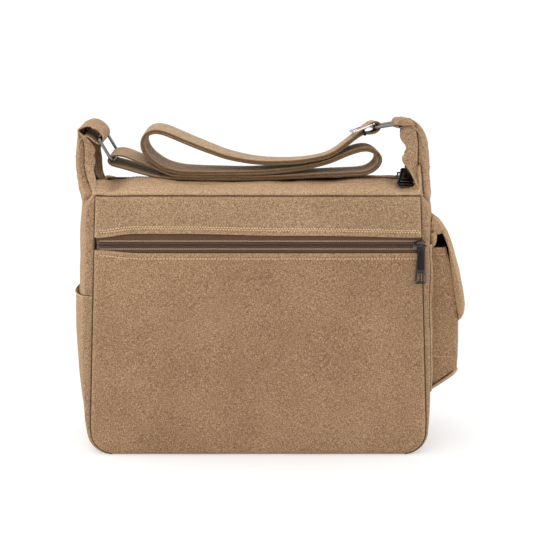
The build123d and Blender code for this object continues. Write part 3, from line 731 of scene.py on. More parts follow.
def build_base():
    half_length, half_depth = 158.0, 53.4

    def point(row, column):
        x, y = column * half_length, row * half_depth
        z = edge_roll(half_depth - abs(y), 4.0, 2.4) + 0.15
        return x, y, z + 1.2 * smooth((abs(x) - 140) / 18) ** 2

    grid = grid_of(point, np.linspace(-1, 1, 34), np.linspace(-1, 1, 97))
    base = sheet("base_cloth", grid, (0, 0, 60), SIDE_LIT_CANVAS, 1.6)
    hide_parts("bottom_panel")


rear_wall = build_rear_wall()
rear_band = build_rear_band()
front_wall = build_front_wall()
build_base()

# --------------------------------------------------------------------------
# top panels, swelling towards the ears and pressed down under the strap
# --------------------------------------------------------------------------
# stations run from the wall seam to the zip edge; y is that of the rear panel
TOP_Y = (-48.6, -51.6, -54.0, -53.2, -46.5, -37.0, -26.0, -15.5, -8.6, -6.4)
PRESSED_Z = (268.4, 269.0, 270.0, 271.8, 272.6, 273.2, 275.9, 279.2, 281.2, 281.6)
TOP_END_Y = (-48.6, -51.4, -53.4, -51.0, -47.0, -41.0, -33.0, -24.0, -14.0, -8.0)
SEWN_END_Z = (268.4, 269.4, 271.0, 275.0, 280.0, 288.0, 297.0, 299.0, 291.0, 284.0)
FREE_END_Z = (268.4, 269.4, 271.0, 273.6, 276.6, 280.0, 282.6, 282.4, 279.6, 277.6)


def top_profile(x, rear):
    """(y, z) control points at x; the ends climb into the folded ears."""
    if rear:
        crest = 280.8 + 4.2 * smooth((-78 - x) / 34) + 2.8 * smooth((x - 76) / 26)
        puff = 1.0 * smooth((x - 40) / 60) + 1.6 * smooth((-60 - x) / 40)
    else:
        crest = 280.6 + 3.6 * smooth((x - 70) / 36) + 1.2 * smooth((-x - 90) / 40)
        puff = 1.8
    heights = (268.4, 269.0, 270.4, 273.0, 275.6 + 0.6 * puff, 278.2 + puff,
               crest - 1.9 + 0.4 * puff, crest, crest - 0.3, min(crest - 1.4, 282.4))
    if rear:
        pressed = (math.exp(-(((x - 146.0) / 13.0) ** 2))
                   + 0.95 * math.exp(-(((x + 146.0) / 12.0) ** 2)))
        heights = between(heights, PRESSED_Z, pressed)
    if rear and x > 0:
        climb, end_z = smooth((abs(x) - 156.5) / 6.5), SEWN_END_Z
    else:
        climb, end_z = smooth((abs(x) - 147.0) / 14.0), FREE_END_Z
    return np.column_stack([between(TOP_Y, TOP_END_Y, climb), between(heights, end_z, climb)])


def build_top_half(name, rear, node):
    def mask(point):
        if rear and 128 < point[0] < 156:
            return 0.35
        return 1.0 if abs(point[1]) < 48 else 0.3

    grid = []
    for x in np.concatenate([np.linspace(-163, -120, 26)[:-1], np.linspace(-120, 120, 73)[:-1],
                             np.linspace(120, 163, 26)]):
        profile = resample(catmull(top_profile(x, rear), 5), count=33)
        grid.append([(x, y if rear else -y, z) for y, z in profile])
    grid = wrinkled(np.array(grid), depth=1.3 if rear else 1.0, size=26,
                    seed=5.0 if rear else 6.0, stretch=(0.8, 1, 1), edge=3, mask=mask)
    grid = wrinkled(grid, depth=0.5, size=9, seed=5.5, edge=3,
                    mask=lambda p: smooth((abs(p[0]) - 128) / 14))
    panel = sheet(name, grid, UNDER_TOP, TOP_LIT_CANVAS, 1.6)
    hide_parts(node)
    return panel


top_rear = build_top_half("top_rear_half", True, "top_panel_back")
top_front = build_top_half("top_front_half", False, "top_panel_front")

# --------------------------------------------------------------------------
# gussets with their folded ears
# --------------------------------------------------------------------------
WING_COLUMNS, OUTER_COLUMNS = 19, 23      # on each wing, and on the outer face
GUSSET_COLUMNS = 2 * WING_COLUMNS + OUTER_COLUMNS
CREASES = (WING_COLUMNS - 1, WING_COLUMNS + OUTER_COLUMNS)
CORNER_ROWS, SIDE_ROWS = 10, 66
FIRST_FOLD = CORNER_ROWS + SIDE_ROWS      # first row of the folded part
FOLD_STEPS = 4                            # rows per station of the folded part
LOOP_HALF = 19.5                          # half length of the cloth loops round the rings

# (z, swell of the gusset past the wall edge)
LEFT_BULGE = [
    (24.0, 5.4), (36.0, 8.6), (60.0, 14.2), (90.0, 18.2), (127.0, 21.0), (150.0, 21.4),
    (190.0, 21.6), (240.0, 20.2), (255.0, 19.6), (270.0, 19.6)]
RIGHT_BULGE = [
    (24.0, 3.2), (36.0, 4.4), (60.0, 6.6), (80.0, 8.8), (110.0, 10.6), (190.0, 12.6),
    (230.0, 13.6), (248.0, 15.0), (256.0, 14.8), (270.0, 13.6)]

# rear wing edge x, y, z; creases' x, z; rear and front crease y; front wing edge x, y, z; swell
LEFT_FOLD = [
    (-160.6, -52.6, 270, -164.5, 270.5, -46.0, 42.0, -160.6, 52.6, 270, 18.0),
    (-160.8, -49.0, 277, -169.0, 277.0, -37.5, 30.0, -165.6, 46.0, 277, 15.6),
    (-162.5, -41.0, 285, -173.0, 285.0, -31.0, 21.0, -167.6, 33.0, 286, 13.0),
    (-165.6, -33.0, 294, -175.2, 294.0, -28.0, 16.5, -166.4, 22.0, 295, 11.6),
    (-164.2, -28.6, 301, -175.8, 302.0, -26.8, 15.0, -165.4, 17.5, 303, 11.2),
    (-165.4, -27.4, 308, -175.8, 309.0, -26.0, 14.0, -166.2, 16.0, 310, 10.9),
    (-164.6, -26.6, 315, -175.8, 316.0, -25.8, 13.8, -165.4, 15.0, 317, 10.0),
    (-168.2, -26.2, 322, -176.4, 323.0, -25.6, 13.6, -168.4, 14.2, 324, 8.4),
    (-173.6, -25.8, 329, -178.8, 329.5, -25.5, 13.5, -172.6, 13.8, 330, 4.6),
]
RIGHT_FOLD = [
    (160.6, -52.6, 270, 162.6, 270.5, -47.0, 42.0, 160.6, 52.6, 270, 13.4),
    (159.4, -48.0, 277, 162.4, 277.0, -38.5, 30.0, 160.0, 46.0, 277, 13.8),
    (155.6, -40.0, 286, 161.8, 286.0, -31.0, 21.0, 158.0, 32.0, 286, 13.8),
    (151.6, -32.5, 294, 161.6, 295.0, -28.4, 16.5, 156.0, 22.0, 295, 14.4),
    (146.6, -29.2, 300, 161.6, 302.0, -27.4, 15.0, 156.0, 17.5, 302, 14.0),
    (145.4, -27.8, 306, 161.6, 308.0, -26.8, 14.0, 154.0, 16.0, 308, 13.4),
    (149.4, -27.2, 311.5, 161.6, 313.5, -26.5, 13.8, 156.0, 15.6, 313, 12.6),
    (148.6, -26.9, 317, 161.4, 320.0, -26.4, 13.7, 153.0, 15.0, 319, 12.0),
    (143.6, -26.6, 324, 160.4, 327.6, -26.2, 13.6, 149.0, 14.4, 325, 10.4),
    (143.2, -26.3, 331, 158.8, 334.6, -25.9, 13.5, 148.4, 14.0, 332, 8.0),
    (147.0, -25.9, 337, 156.4, 340.2, -25.6, 13.5, 149.6, 13.7, 338.0, 4.4),
]
# (x, z) of the cloth loop over each ring's upper bar
LEFT_LOOP = [
    (-181.6, 335.4), (-176.6, 339.0), (-170.6, 340.6), (-164.6, 339.2), (-159.4, 335.6),
    (-156.1, 331.4), (-155.0, 326.6), (-156.6, 322.6), (-160.2, 320.9), (-164.4, 322.6),
    (-168.4, 326.2), (-172.6, 328.6), (-176.6, 327.4), (-179.4, 322.6), (-180.4, 315.0),
    (-180.3, 305.0)]
RIGHT_LOOP = [
    (153.4, 343.8), (147.8, 344.8), (142.6, 344.6), (140.0, 342.8), (138.6, 339.4),
    (139.6, 336.0), (141.8, 334.2), (146.0, 335.2), (150.6, 337.0), (155.4, 335.6),
    (159.8, 331.0), (163.6, 324.0), (167.0, 315.0), (169.0, 305.0)]


def bulge_at(table, z):
    return float(np.interp(z, *zip(*table)))


def gusset_row(outline, normal, bulge, side, half=52.5, power=2.4):
    """Section across a gusset at one (x, z) of the wall outline."""
    row = []
    for across in eased(GUSSET_COLUMNS):
        y = half * across
        inset = half - abs(y)
        out = bulge * (1 - (abs(y) / (half + 0.2)) ** power) ** (1 / 2.1)
        out += 1.3 * math.exp(-((inset - 2.6) / 2.0) ** 2) - edge_roll(inset, 2.6, 3.0)
        narrow = 1.0 if inset > 2.6 else 1.0 - 0.012 * (2.6 - inset)
        row.append((side * (outline[0] + normal[0] * out), y * narrow,
                    outline[1] + normal[1] * out))
    return np.array(row)


def corner_point(angle, radius=CORNER_R):
    """(x, z) on the rounded lower corner; angle 0 is where the side begins."""
    return HALF_LOW - CORNER_R + radius * math.cos(angle), CORNER_R - radius * math.sin(angle)


def corner_row(angle, bulges, side, extra=0.0, **section):
    bulge = bulge_at(bulges, CORNER_R) * smooth(
        (math.radians(88) - angle) / math.radians(70)) + extra
    normal = (math.cos(angle), -math.sin(angle))
    return gusset_row(corner_point(angle), normal, bulge, side, **section)


def fold_row(station):
    """C-shaped section: two wings turned inwards and a rounded, swelling outer face."""
    rear_edge, front_edge = np.array(station[:3], float), np.array(station[7:10], float)
    crease_x, crease_z, rear_y, front_y = station[3:7]
    rear_crease = np.array((crease_x, rear_y, crease_z))
    front_crease = np.array((crease_x, front_y, crease_z))
    outward = np.array([math.copysign(1.0, crease_x), 0, 0])

    def wing(start, end, sign):
        span = end - start
        belly = min(1.6, np.linalg.norm(span) * 0.09)
        return [start + span * t + np.array([0, sign, 0]) * math.sin(math.pi * t) ** 0.7 * belly
                for t in (k / (WING_COLUMNS - 1) for k in range(WING_COLUMNS))]

    row = wing(rear_edge, rear_crease, -1.0)
    for k in range(1, OUTER_COLUMNS + 1):
        angle = math.pi * k / (OUTER_COLUMNS + 1)
        row.append(rear_crease + (front_crease - rear_crease) * (0.5 - 0.5 * math.cos(angle))
                   + outward * station[10] * math.sin(angle) ** 0.55)
    row = np.array(row + wing(front_crease, front_edge, 1.0))
    # both creases are pinched towards the middle
    middle = (rear_crease + front_crease) / 2
    for crease in CREASES:
        pinch = 2.2 * np.exp(-(((np.arange(len(row)) - crease) / 0.9) ** 2))
        row += unit(middle - row) * pinch[:, None]
    return row


def build_ear(tag, side, bulges, folds, loop, share):
    power = 3.2 if side > 0 else 2.4
    rows = [corner_row(angle, bulges, side, power=power)
            for angle in np.linspace(math.radians(86), 0, CORNER_ROWS + 1)[:-1]]
    rows += [gusset_row((corner_width(z), z), (1, 0), bulge_at(bulges, z), side, power=power)
             for z in np.linspace(CORNER_R, 258, SIDE_ROWS)]
    loop_y = STRAP_Y + np.concatenate([
        np.linspace(-LOOP_HALF, 0.6 - LOOP_HALF, WING_COLUMNS),
        np.linspace(0.6 - LOOP_HALF, LOOP_HALF - 0.6, OUTER_COLUMNS + 2)[1:-1],
        np.linspace(LOOP_HALF - 0.6, LOOP_HALF, WING_COLUMNS)])
    keys = rows[-2:] + [fold_row(station) for station in folds]
    keys = np.array(keys + [np.array([(x, y, z) for y in loop_y]) for x, z in loop])
    dense = np.array([catmull(keys[:, j], FOLD_STEPS) for j in range(GUSSET_COLUMNS)])
    grid = np.concatenate([np.array(rows), dense.transpose(1, 0, 2)[FOLD_STEPS + 1:]], 0)

    fold_rows = FOLD_STEPS * len(folds)
    shares = share * np.array([smooth((i - FIRST_FOLD - fold_rows * 0.45) / (fold_rows * 0.55))
                               for i in range(len(grid))])
    grid = lean(grid, shares[:, None])

    def body_mask(point):
        fade = 1.0 if point[2] < 262 else max(0.0, 1 - (point[2] - 262) / 56)
        return smooth((point[2] - 25) / 30) * fade

    def ear_mask(point):
        return smooth((point[2] - 225) / 40) * smooth((318.0 - point[2]) / 16)

    grid = wrinkled(grid, depth=1.5, size=30, seed=7.0 + side, stretch=(1, 1.2, 0.55),
                    mask=body_mask)
    end = FIRST_FOLD + fold_rows - 3
    grid[:end] = wrinkled(grid[:end], depth=0.55, size=9, seed=8.0 + side,
                          stretch=(1, 1, 1.4), mask=ear_mask)
    ear = sheet(tag + "_gusset_and_ear", grid, CENTRE, SIDE_LIT_CANVAS, 1.6, body=None, soften=6)
    # dark cells painted along both creases, on the outer face, as the shade in the creases
    ear.data.materials.append(SEAM_SHADE_CORD)
    for i in range(FIRST_FOLD + 3, FIRST_FOLD + fold_rows - 3):
        for j in (CREASES[0] - 1, CREASES[1]):
            ear.data.polygons[2 * (i * (GUSSET_COLUMNS - 1) + j)].material_index = 1
    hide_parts(tag + "_gusset", tag + "_ear", tag + "_ear_loop")
    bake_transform(ear)
    return ear, grid


def build_right_ear_roll():
    """The wings' ends rolled up inside the right-hand loop."""
    sides, centre_x, centre_z, radius_x, radius_z = 20, 151.6, 339.4, 4.6, 2.4
    # (y from the strap's middle, share of the radius)
    stations = ((-18.6, 0.3), (-18.0, 0.75), (-16.5, 1), (-8, 1), (0, 1), (8, 1), (16.5, 1),
                (18.0, 0.75), (18.6, 0.3))
    verts = []
    for offset, share in stations:
        y = STRAP_Y + offset
        for k in range(sides):
            angle = 2 * math.pi * k / sides
            radius = share * (1 + 0.10 * math.sin(3 * angle + y / 5.0))
            verts.append((centre_x + radius_x * radius * math.cos(angle), y,
                          centre_z + radius_z * radius * math.sin(angle)))
    make("right_ear_roll", lean(np.array(verts), TWIST), ring_faces(len(stations), sides),
         SIDE_LIT_CANVAS, "strap")


# x; z of the fold's top, of its base line, and of its lower edge
EAR_FOLD = [
    (136.6, 339.4, 339.0, 338.8), (137.6, 342.0, 340.4, 338.2), (138.4, 344.0, 342.6, 337.9),
    (141.3, 345.3, 344.4, 337.6), (145.6, 345.9, 345.4, 337.5), (150.3, 344.6, 344.4, 337.6),
    (154.0, 341.8, 341.6, 337.7), (156.6, 339.0, 338.8, 337.8)]


def build_right_ear_fold():
    """The top of the right ear folds down over the ring's corner."""
    ring_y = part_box("right_ring")[0].y / MM
    stations, *curves = zip(*EAR_FOLD)
    grid = []
    for x in np.linspace(136.8, 156.4, 25):
        top, base, low = (float(np.interp(x, stations, curve)) for curve in curves)
        profile = [
            (-8.0, base + 0.3), (-16.0, base + 0.5), (-23.0, base + 0.3 + 0.3 * (top - base)),
            (ring_y + 1.0, top - 0.6), (ring_y - 1.6, top - 2.2 * min(1, (top - low) / 6)),
            (ring_y - 2.3, (top + low) / 2 - 0.4), (ring_y - 1.9, low)]
        grid.append([(x, y, z) for y, z in resample(catmull(profile, 5), count=21)])
    grid = wrinkled(np.array(grid), depth=0.35, size=9, seed=41.0, edge=2)
    sheet("right_ear_fold", lean(grid, TWIST), (146, -6, 330), SIDE_LIT_CANVAS, 1.2, body="strap")


def build_top_end_seam():
    """The rear top panel's right-hand end is sewn to the ear."""
    line = [(163.3, y - 0.9, z) for y, z in top_profile(163.0, True)[2:8]]
    # a dark cord painted along this join as the shade in its seam
    tube("seam_top_end_right", resample(catmull(line, 5), step=2.0), 0.7)


def build_creases(tag, grid, top):
    """Dark lines painted down both creases of an ear as crease shade, below the height top."""
    for column, (sign, end) in zip(CREASES, ENDS):
        line = [(x, y + sign * 0.5, z)
                for x, y, z in grid[FIRST_FOLD + 1:FIRST_FOLD + 42, column] if z < top]
        crease = tube("crease_%s_%s" % (tag, end), resample(line, step=2.0), 0.62, body=None)
        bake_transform(crease)


def build_wall_seams():
    """Dark cords painted into the seams of the walls as the shade in their grooves."""
    cord_y, inset = 52.2, 0.6
    for sign, end in ENDS:
        tube("seam_top_" + end,
             [(x, sign * cord_y, 268.8) for x in np.linspace(-160.0, 160.0, 90)], 0.8)
    outline = [corner_point(a, CORNER_R - inset) for a in np.linspace(math.radians(84), 0, 10)]
    outline += [(corner_width(z) - inset, z) for z in np.linspace(26, 269, 70)]
    for side, tag in ((-1, "left"), (1, "right")):
        for sign, end in ENDS:
            tube("seam_%s_%s" % (tag, end), [(side * x, sign * cord_y, z) for x, z in outline],
                 1.05)


left_ear, left_grid = build_ear("left", -1, LEFT_BULGE, LEFT_FOLD, LEFT_LOOP, 1.0)
right_ear, right_grid = build_ear("right", 1, RIGHT_BULGE, RIGHT_FOLD, RIGHT_LOOP, TWIST)
build_right_ear_roll()
build_right_ear_fold()
build_top_end_seam()
build_creases("left", left_grid, top=326.0)
build_creases("right", right_grid, top=331.0)
build_wall_seams()


# --------------------------------------------------------------------------
# slip pocket on the left gusset
# --------------------------------------------------------------------------
def slip_dip(y):
    """How far the pocket's mouth drops towards its sides."""
    return 1.2 * smooth((abs(y) - 6.0) / 46.0)


def build_slip_pocket():
    rows = [corner_row(angle, LEFT_BULGE, -1, extra=1.1, half=51.6)
            for angle in np.linspace(math.radians(70), 0, 7)[:-1]]
    for z in np.linspace(CORNER_R, 168.2, 34):
        slack = 0.9 + 0.9 * smooth((z - 120) / 50)
        row = gusset_row((corner_width(z), z), (1, 0), bulge_at(LEFT_BULGE, z) + slack, -1,
                         half=52.6)
        row[:, 0] -= 0.3 * smooth((z - 110) / 40)
        row[:, 2] -= np.array([slip_dip(y) for y in row[:, 1]]) * smooth((z - 130) / 38)
        rows.append(row)
    grid = np.array(rows)
    grid[:, :, 0] -= 0.5
    grid = wrinkled(grid, depth=1.1, size=34, seed=11.0, stretch=(1, 1, 0.7), edge=3)
    pocket = sheet("side_slip_pocket", grid, (0, 0, 100), SIDE_LIT_CANVAS, 1.8)
    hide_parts("left_slip_pocket")
    hem = resample([(x - 0.4, y, z) for x, y, z in grid[-1, 2:-2]], step=3.0)
    tube("slip_pocket_hem", hem, 0.8, TOP_LIT_CANVAS, sides=8)
    tube("slip_pocket_hem_shadow", hem + np.array([0.8, 0, 0.9]), 0.4)
    return pocket


slip_pocket = build_slip_pocket()

# --------------------------------------------------------------------------
# phone pocket on the right gusset
# --------------------------------------------------------------------------
# (z, x) of the pocket's outer face
PHONE_PROFILE = catmull([
    (66.8, 180.6), (69.6, 184.8), (73.0, 189.6), (76.6, 194.8), (80.2, 199.8), (83.0, 203.4),
    (85.2, 205.6), (88.5, 206.4), (96.0, 206.4), (120.0, 206.6), (145.0, 206.4), (165.0, 204.8),
    (180.0, 202.4), (196.0, 198.0), (208.0, 193.8), (214.6, 191.4)], 5)
PHONE_HALF = 39.4
# where the pocket is shallow: shares of its depth at the section's stations
SHALLOW_SHARES = (0, 0.1, 0.25, 0.5, 0.8, 0.93, 1, 1.02, 1.03)
# (x, distance from the middle in y, z) along one side of the pocket's lower end
PHONE_RIM = [
    (179.6, 39.6, 67.6), (184.4, 40.1, 70.8), (190.2, 40.2, 74.8), (196.0, 40.0, 78.8),
    (201.0, 39.6, 82.4), (204.6, 37.6, 85.4), (206.0, 34.0, 86.4)]
PHONE_RIM_SEAM = [
    (180.6, 40.3, 70.8), (184.8, 40.4, 73.6), (190.6, 40.5, 77.8), (196.4, 40.2, 81.8),
    (202.0, 39.3, 86.0)]

right_gusset_tree = surface_tree(right_ear)


def gusset_x(y, z):
    """x of the right gusset's surface, or an estimate where the ray misses it."""
    hit = right_gusset_tree.ray_cast(Vector((0.26, y * MM, z * MM)), Vector(LEFTWARD), 0.12)
    return hit[0][0] / MM if hit[0] is not None else half_width(z) + 6.0


def build_phone_pocket():
    rows = []
    for z, face in PHONE_PROFILE:
        root = gusset_x(-39.5, z) + 0.6
        half = PHONE_HALF
        widths = (half + 0.4, half + 0.3, half - 0.6, half + 0.1, half - 0.6, half - 2.2,
                  half - 5.2, 18.0, 0.0)
        if face - root < 12:
            reaches = [root + share * (face - root) for share in SHALLOW_SHARES]
        else:
            reaches = (root, root + 1.6, root + 4.5, (face + root) / 2 + 1, face - 3.4,
                       face - 1.0, face, face + 0.8, face + 1.1)
        section = resample(catmull(mirrored(list(zip(widths, reaches))), 4), count=81)
        rows.append([(x, y, z) for y, x in section])
    grid = wrinkled(np.array(rows), depth=1.0, size=30, seed=13.0, edge=3)
    grid = wrinkled(grid, depth=0.35, size=9, seed=13.5, edge=3)
    pocket = sheet("phone_pocket", grid, (170, 0, 140), CANVAS, 1.8)
    # turned lower rim, a little proud of the bag cloth
    for sign, end in ENDS:
        tube("phone_pocket_rim_" + end, [(x, sign * y, z) for x, y, z in PHONE_RIM], 1.7,
             TOP_LIT_CANVAS, sides=10)
        # dark cords painted along the base seams as their shade
        tube("seam_pocket_base_" + end, [(x, sign * y, z) for x, y, z in PHONE_RIM_SEAM], 0.6)
    tube("phone_pocket_rim_side", [(206.2, y, 86.5) for y in np.linspace(-34.5, 34.5, 30)], 1.7,
         TOP_LIT_CANVAS, sides=10)
    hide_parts("side_pocket_body")
    return pocket


def build_phone_flanges():
    """Folded flanges sewn down on the gusset at each side of the pocket."""
    # distance from the middle where the gusset is met, height over it, distance of the cloth
    stations = ((47.0, 0.3, 47.0), (45.4, 1.5, 46.3), (43.4, 2.0, 44.4), (41.4, 1.8, 41.6),
                (39.9, 1.2, 39.9), (39.9, 0.2, 39.6))
    for sign, end in ENDS:
        grid = np.array([
            resample(catmull([(gusset_x(sign * foot, z) + lift, sign * y, z)
                              for foot, lift, y in stations], 4), count=17)
            for z in np.linspace(66, 219, 60)])
        grid = wrinkled(grid, depth=0.35, size=14, seed=14.0, edge=2)
        sheet("phone_pocket_flange_" + end, grid, (160, 0, 140), TOP_LIT_CANVAS, 1.0)
        # dark cords painted along the pocket's and the flanges' seams as their shade
        tube("seam_pocket_" + end, [(gusset_x(sign * 39.4, z) + 1.0, sign * 40.4, z)
                                    for z in np.linspace(68, 216, 50)], 0.7)
        tube("seam_flange_" + end, [(gusset_x(sign * 47.6, z) + 0.1, sign * 47.9, z)
                                    for z in np.linspace(68, 217, 50)], 0.6)


phone_pocket = build_phone_pocket()
build_phone_flanges()

# --------------------------------------------------------------------------
# flap over the phone pocket
# --------------------------------------------------------------------------
# (x, z) down the middle of the flap, and along the inner edge of its turned-in sides
FLAP_ROOT_X = 178.6
FLAP_PATH = resample(catmull([
    (FLAP_ROOT_X, 246.0), (181.0, 246.2), (185.6, 243.0), (190.8, 236.6), (196.0, 227.6),
    (200.6, 216.6), (205.4, 201.4), (209.6, 185.6), (212.8, 170.0), (214.6, 156.0),
    (214.6, 146.0), (212.8, 137.6)], 6), count=44)
CHEEK_PATH = resample(catmull([
    (173.4, 234.5), (174.6, 231.4), (177.6, 229.4), (182.0, 228.8), (186.4, 230.2),
    (189.2, 228.6), (190.9, 222.0), (193.2, 209.0), (195.8, 194.0), (198.2, 180.0),
    (200.8, 165.0), (203.4, 151.0), (205.4, 142.0)], 5), count=38)
FLAP_LAST = len(FLAP_PATH) - 1


def root_gap(y):
    """Gap between the flap's root and the gusset at y."""
    return max(FLAP_ROOT_X - (gusset_x(y, 245.5) + 1.4), 0.0)


def rounded_half(half, down, start, trim):
    """Half width of a flap whose lower corners are rounded from start downwards."""
    if down <= start:
        return half
    turn = (down - start) / (1 - start)
    return half - trim * (1 - math.sqrt(max(1 - turn * turn, 0.0)))


def build_phone_flap():
    """Crowned flap."""
    def point(i, across):
        x, z = FLAP_PATH[i]
        down = i / FLAP_LAST
        y = across * rounded_half(43.6 - 3.2 * (1 - down) ** 2, down, start=0.86, trim=13.0)
        crown = (6.4 * abs(across) ** 3.4 * smooth(down / 0.2)
                 + root_gap(y) * (1 - smooth(down / 0.3)))
        return x - crown, y, z

    grid = grid_of(point, range(len(FLAP_PATH)), eased(41))
    grid = wrinkled(grid, depth=0.8, size=30, seed=15.0, edge=3)
    flap = sheet("phone_pocket_flap", grid, (180, 0, 150), FLAP_CANVAS, 2.6,
                 body=None, soften=1)
    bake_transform(flap)
    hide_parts("side_flap")
    return flap


def flap_inner(k, offset):
    """(x, z) at an offset inside the flap's path."""
    along = unit(FLAP_PATH[min(k + 1, FLAP_LAST)] - FLAP_PATH[max(k - 1, 0)])
    normal = np.array([along[1], -along[0]])
    if normal[0] > 0:
        normal = -normal
    return FLAP_PATH[k] + normal * offset


def build_flap_lining():
    """Near-black sheet under the flap."""
    side_gap = root_gap(38.5) + 0.8

    def point(k, across):
        x, z = flap_inner(k, 3.5)
        x -= 5.4 * abs(across) ** 3.4
        x -= side_gap * abs(across) ** 2 * (1 - smooth(k / FLAP_LAST / 0.36))
        return x, across * 38.0, z

    sheet("phone_flap_lining", grid_of(point, range(5, 41), np.linspace(-1, 1, 25)),
          (240, 0, 160), FLAP_BLACK_AND_GAP_SHADE, 0.7, "side_flap")


def build_flap_cheeks():
    """The flap's turned-in sides."""
    side_gap = root_gap(42.0) - 0.6
    for sign, end in ENDS:
        def point(k, t):
            down = k / FLAP_LAST
            x, z = FLAP_PATH[k]
            x -= 6.6 * smooth(down / 0.2) + side_gap * (1 - smooth(down / 0.3))
            inner_x, inner_z = CHEEK_PATH[k]
            if k < 4:
                inner_x = max(inner_x, gusset_x(sign * 43.0, inner_z) + 0.8)
            y = (43.0 - 3.2 * (1 - down) ** 2 * (1 - t) + 0.7 * math.sin(math.pi * t)
                 - 2.4 * t * t)
            return x + (inner_x - x) * t, sign * y, z + (inner_z - z) * t - 0.8 * (1 - t)

        grid = grid_of(point, range(len(CHEEK_PATH)), np.linspace(0, 1, 11))
        grid = wrinkled(grid, depth=0.5, size=12, seed=15.5, edge=2)
        cheek = sheet("phone_flap_cheek_" + end, grid, (190, 0, 215), FLAP_CANVAS, 1.2,
                      body=None, soften=1)
        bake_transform(cheek)


def build_flap_gap_shade():
    """Near-black sheet painted as the shade in the gap between the flap and the gusset, on the
    front side.
    """
    shade_y, first, end = 37.0, 4, 22
    gap = root_gap(shade_y)

    def point(k, t):
        x, z = flap_inner(k, 3.4)
        x -= 4.0 + gap * (1 - smooth(k / FLAP_LAST / 0.3))
        inner_x = 179.6 + 0.2 * (k - first)
        inner_z = 243.0 - (243.0 - 216.5) * (k - first) / (end - 1 - first)
        return (inner_x + (x - inner_x) * t, shade_y + 1.2 * math.sin(3 * t + k * 0.3),
                inner_z + (z - inner_z) * t)

    sheet("phone_flap_gap_shade_front", grid_of(point, range(first, end), np.linspace(0, 1, 9)),
          (190, -200, 230), FLAP_BLACK_AND_GAP_SHADE, 0.8, "side_flap")


def build_flap_root_rolls():
    """Rolled cloth where the flap's edge turns in at its root."""
    roll_y = 41.6
    for sign, end in ENDS:
        def point(t, angle):
            z = 231.0 - 15.0 * t
            radius = 3.4 * math.sin(math.pi * min(0.22 + 0.78 * t, 0.97)) ** 0.6
            x = gusset_x(sign * 42.0, z) + 2.4 + 0.8 * math.sin(math.pi * t)
            return (x + radius * math.cos(angle),
                    sign * roll_y + sign * radius * 0.9 * math.sin(angle),
                    z + 0.5 * math.sin(angle * 2 + t * 5))

        grid = grid_of(point, np.linspace(0, 1, 22),
                       np.linspace(-0.9 * math.pi, 0.85 * math.pi, 22))
        grid = wrinkled(grid, depth=0.6, size=7, seed=16.0, edge=2)
        sheet("flap_root_roll_" + end, grid, (177.5, sign * roll_y, 223), FLAP_CANVAS, 0.9)


phone_flap = build_phone_flap()
build_flap_lining()
build_flap_cheeks()
build_flap_gap_shade()
build_flap_root_rolls()

# --------------------------------------------------------------------------
# front pocket and its flap
# --------------------------------------------------------------------------
# (y, z) down the front flap
FRONT_FLAP_PATH = resample(catmull([
    (56.6, 200.6), (59.0, 201.2), (63.5, 198.4), (69.0, 192.2), (73.6, 184.0), (76.0, 174.0),
    (76.9, 158.0), (77.0, 138.0), (76.9, 118.0), (76.5, 100.0), (76.2, 92.4)], 6), count=46)


def build_front_pocket():
    """Boxy patch with rounded lower corners, built from sections in plan."""
    half_width_full, bottom, corner = 112.0, 22.5, 20.0
    corner_top = bottom + corner
    turn = np.linspace(0.15, math.pi / 2, 8)
    rows = []
    for z in np.concatenate([bottom + corner * (1 - np.cos(turn))[:-1],
                             np.linspace(corner_top, 173.5, 34)]):
        drop = max(corner_top - z, 0.0)
        half = half_width_full - (corner - math.sqrt(corner**2 - drop**2))
        face = 71.4 - 9.0 * max(0.0, 1 - (z - bottom) / 9.0) ** 2
        section = mirrored([(half + 0.4, 56.2), (half, 58.5), (half - 0.6, 65.0),
                            (half - 2.4, face - 1.2), (half - 6.5, face),
                            (half * 0.5, face + 1.5), (0, face + 2.0)])
        rows.append([(x, y, z) for x, y in resample(catmull(section, 5), count=95)])
    grid = wrinkled(np.array(rows), depth=0.7, size=34, seed=17.0, edge=3)
    pocket = sheet("front_pocket", grid, (0, 40, 100), CANVAS, 1.8)
    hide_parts("front_pocket_body")
    return pocket


def build_front_flap():
    def point(i, across):
        y, z = FRONT_FLAP_PATH[i]
        down = i / (len(FRONT_FLAP_PATH) - 1)
        half = rounded_half(114.6, down, start=0.72, trim=28.0)
        belly = 0.9 * math.cos(across * math.pi / 2) * down
        return across * half, y - 2.2 * abs(across) ** 6 + belly, z

    grid = grid_of(point, range(len(FRONT_FLAP_PATH)), eased(67))
    grid = wrinkled(grid, depth=0.8, size=38, seed=19.0, edge=3)
    flap = sheet("front_pocket_flap", grid, (0, 40, 150), CANVAS, 2.4, body=None)
    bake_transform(flap)
    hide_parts("front_flap")
    return flap


front_pocket = build_front_pocket()
front_flap = build_front_flap()

# --------------------------------------------------------------------------
# zips
# --------------------------------------------------------------------------
# (y, distance up or down from the zip's middle)
REAR_TAPE = [(-53.3, 0.5), (-53.45, 2.0), (-53.3, 6.0), (-53.2, 12.0)]
# (distance to the rear or front of the zip's middle, z)
MAIN_TAPE = [(0.5, 281.2), (3.0, 281.35), (6.4, 281.2), (11.5, 278.9), (16.0, 276.4)]


def build_tape(name, profile, stations, inside):
    grid = np.array([[(x, y, z) for y, z in profile] for x in stations])
    return sheet(name, grid, inside, TAPE, 0.6)


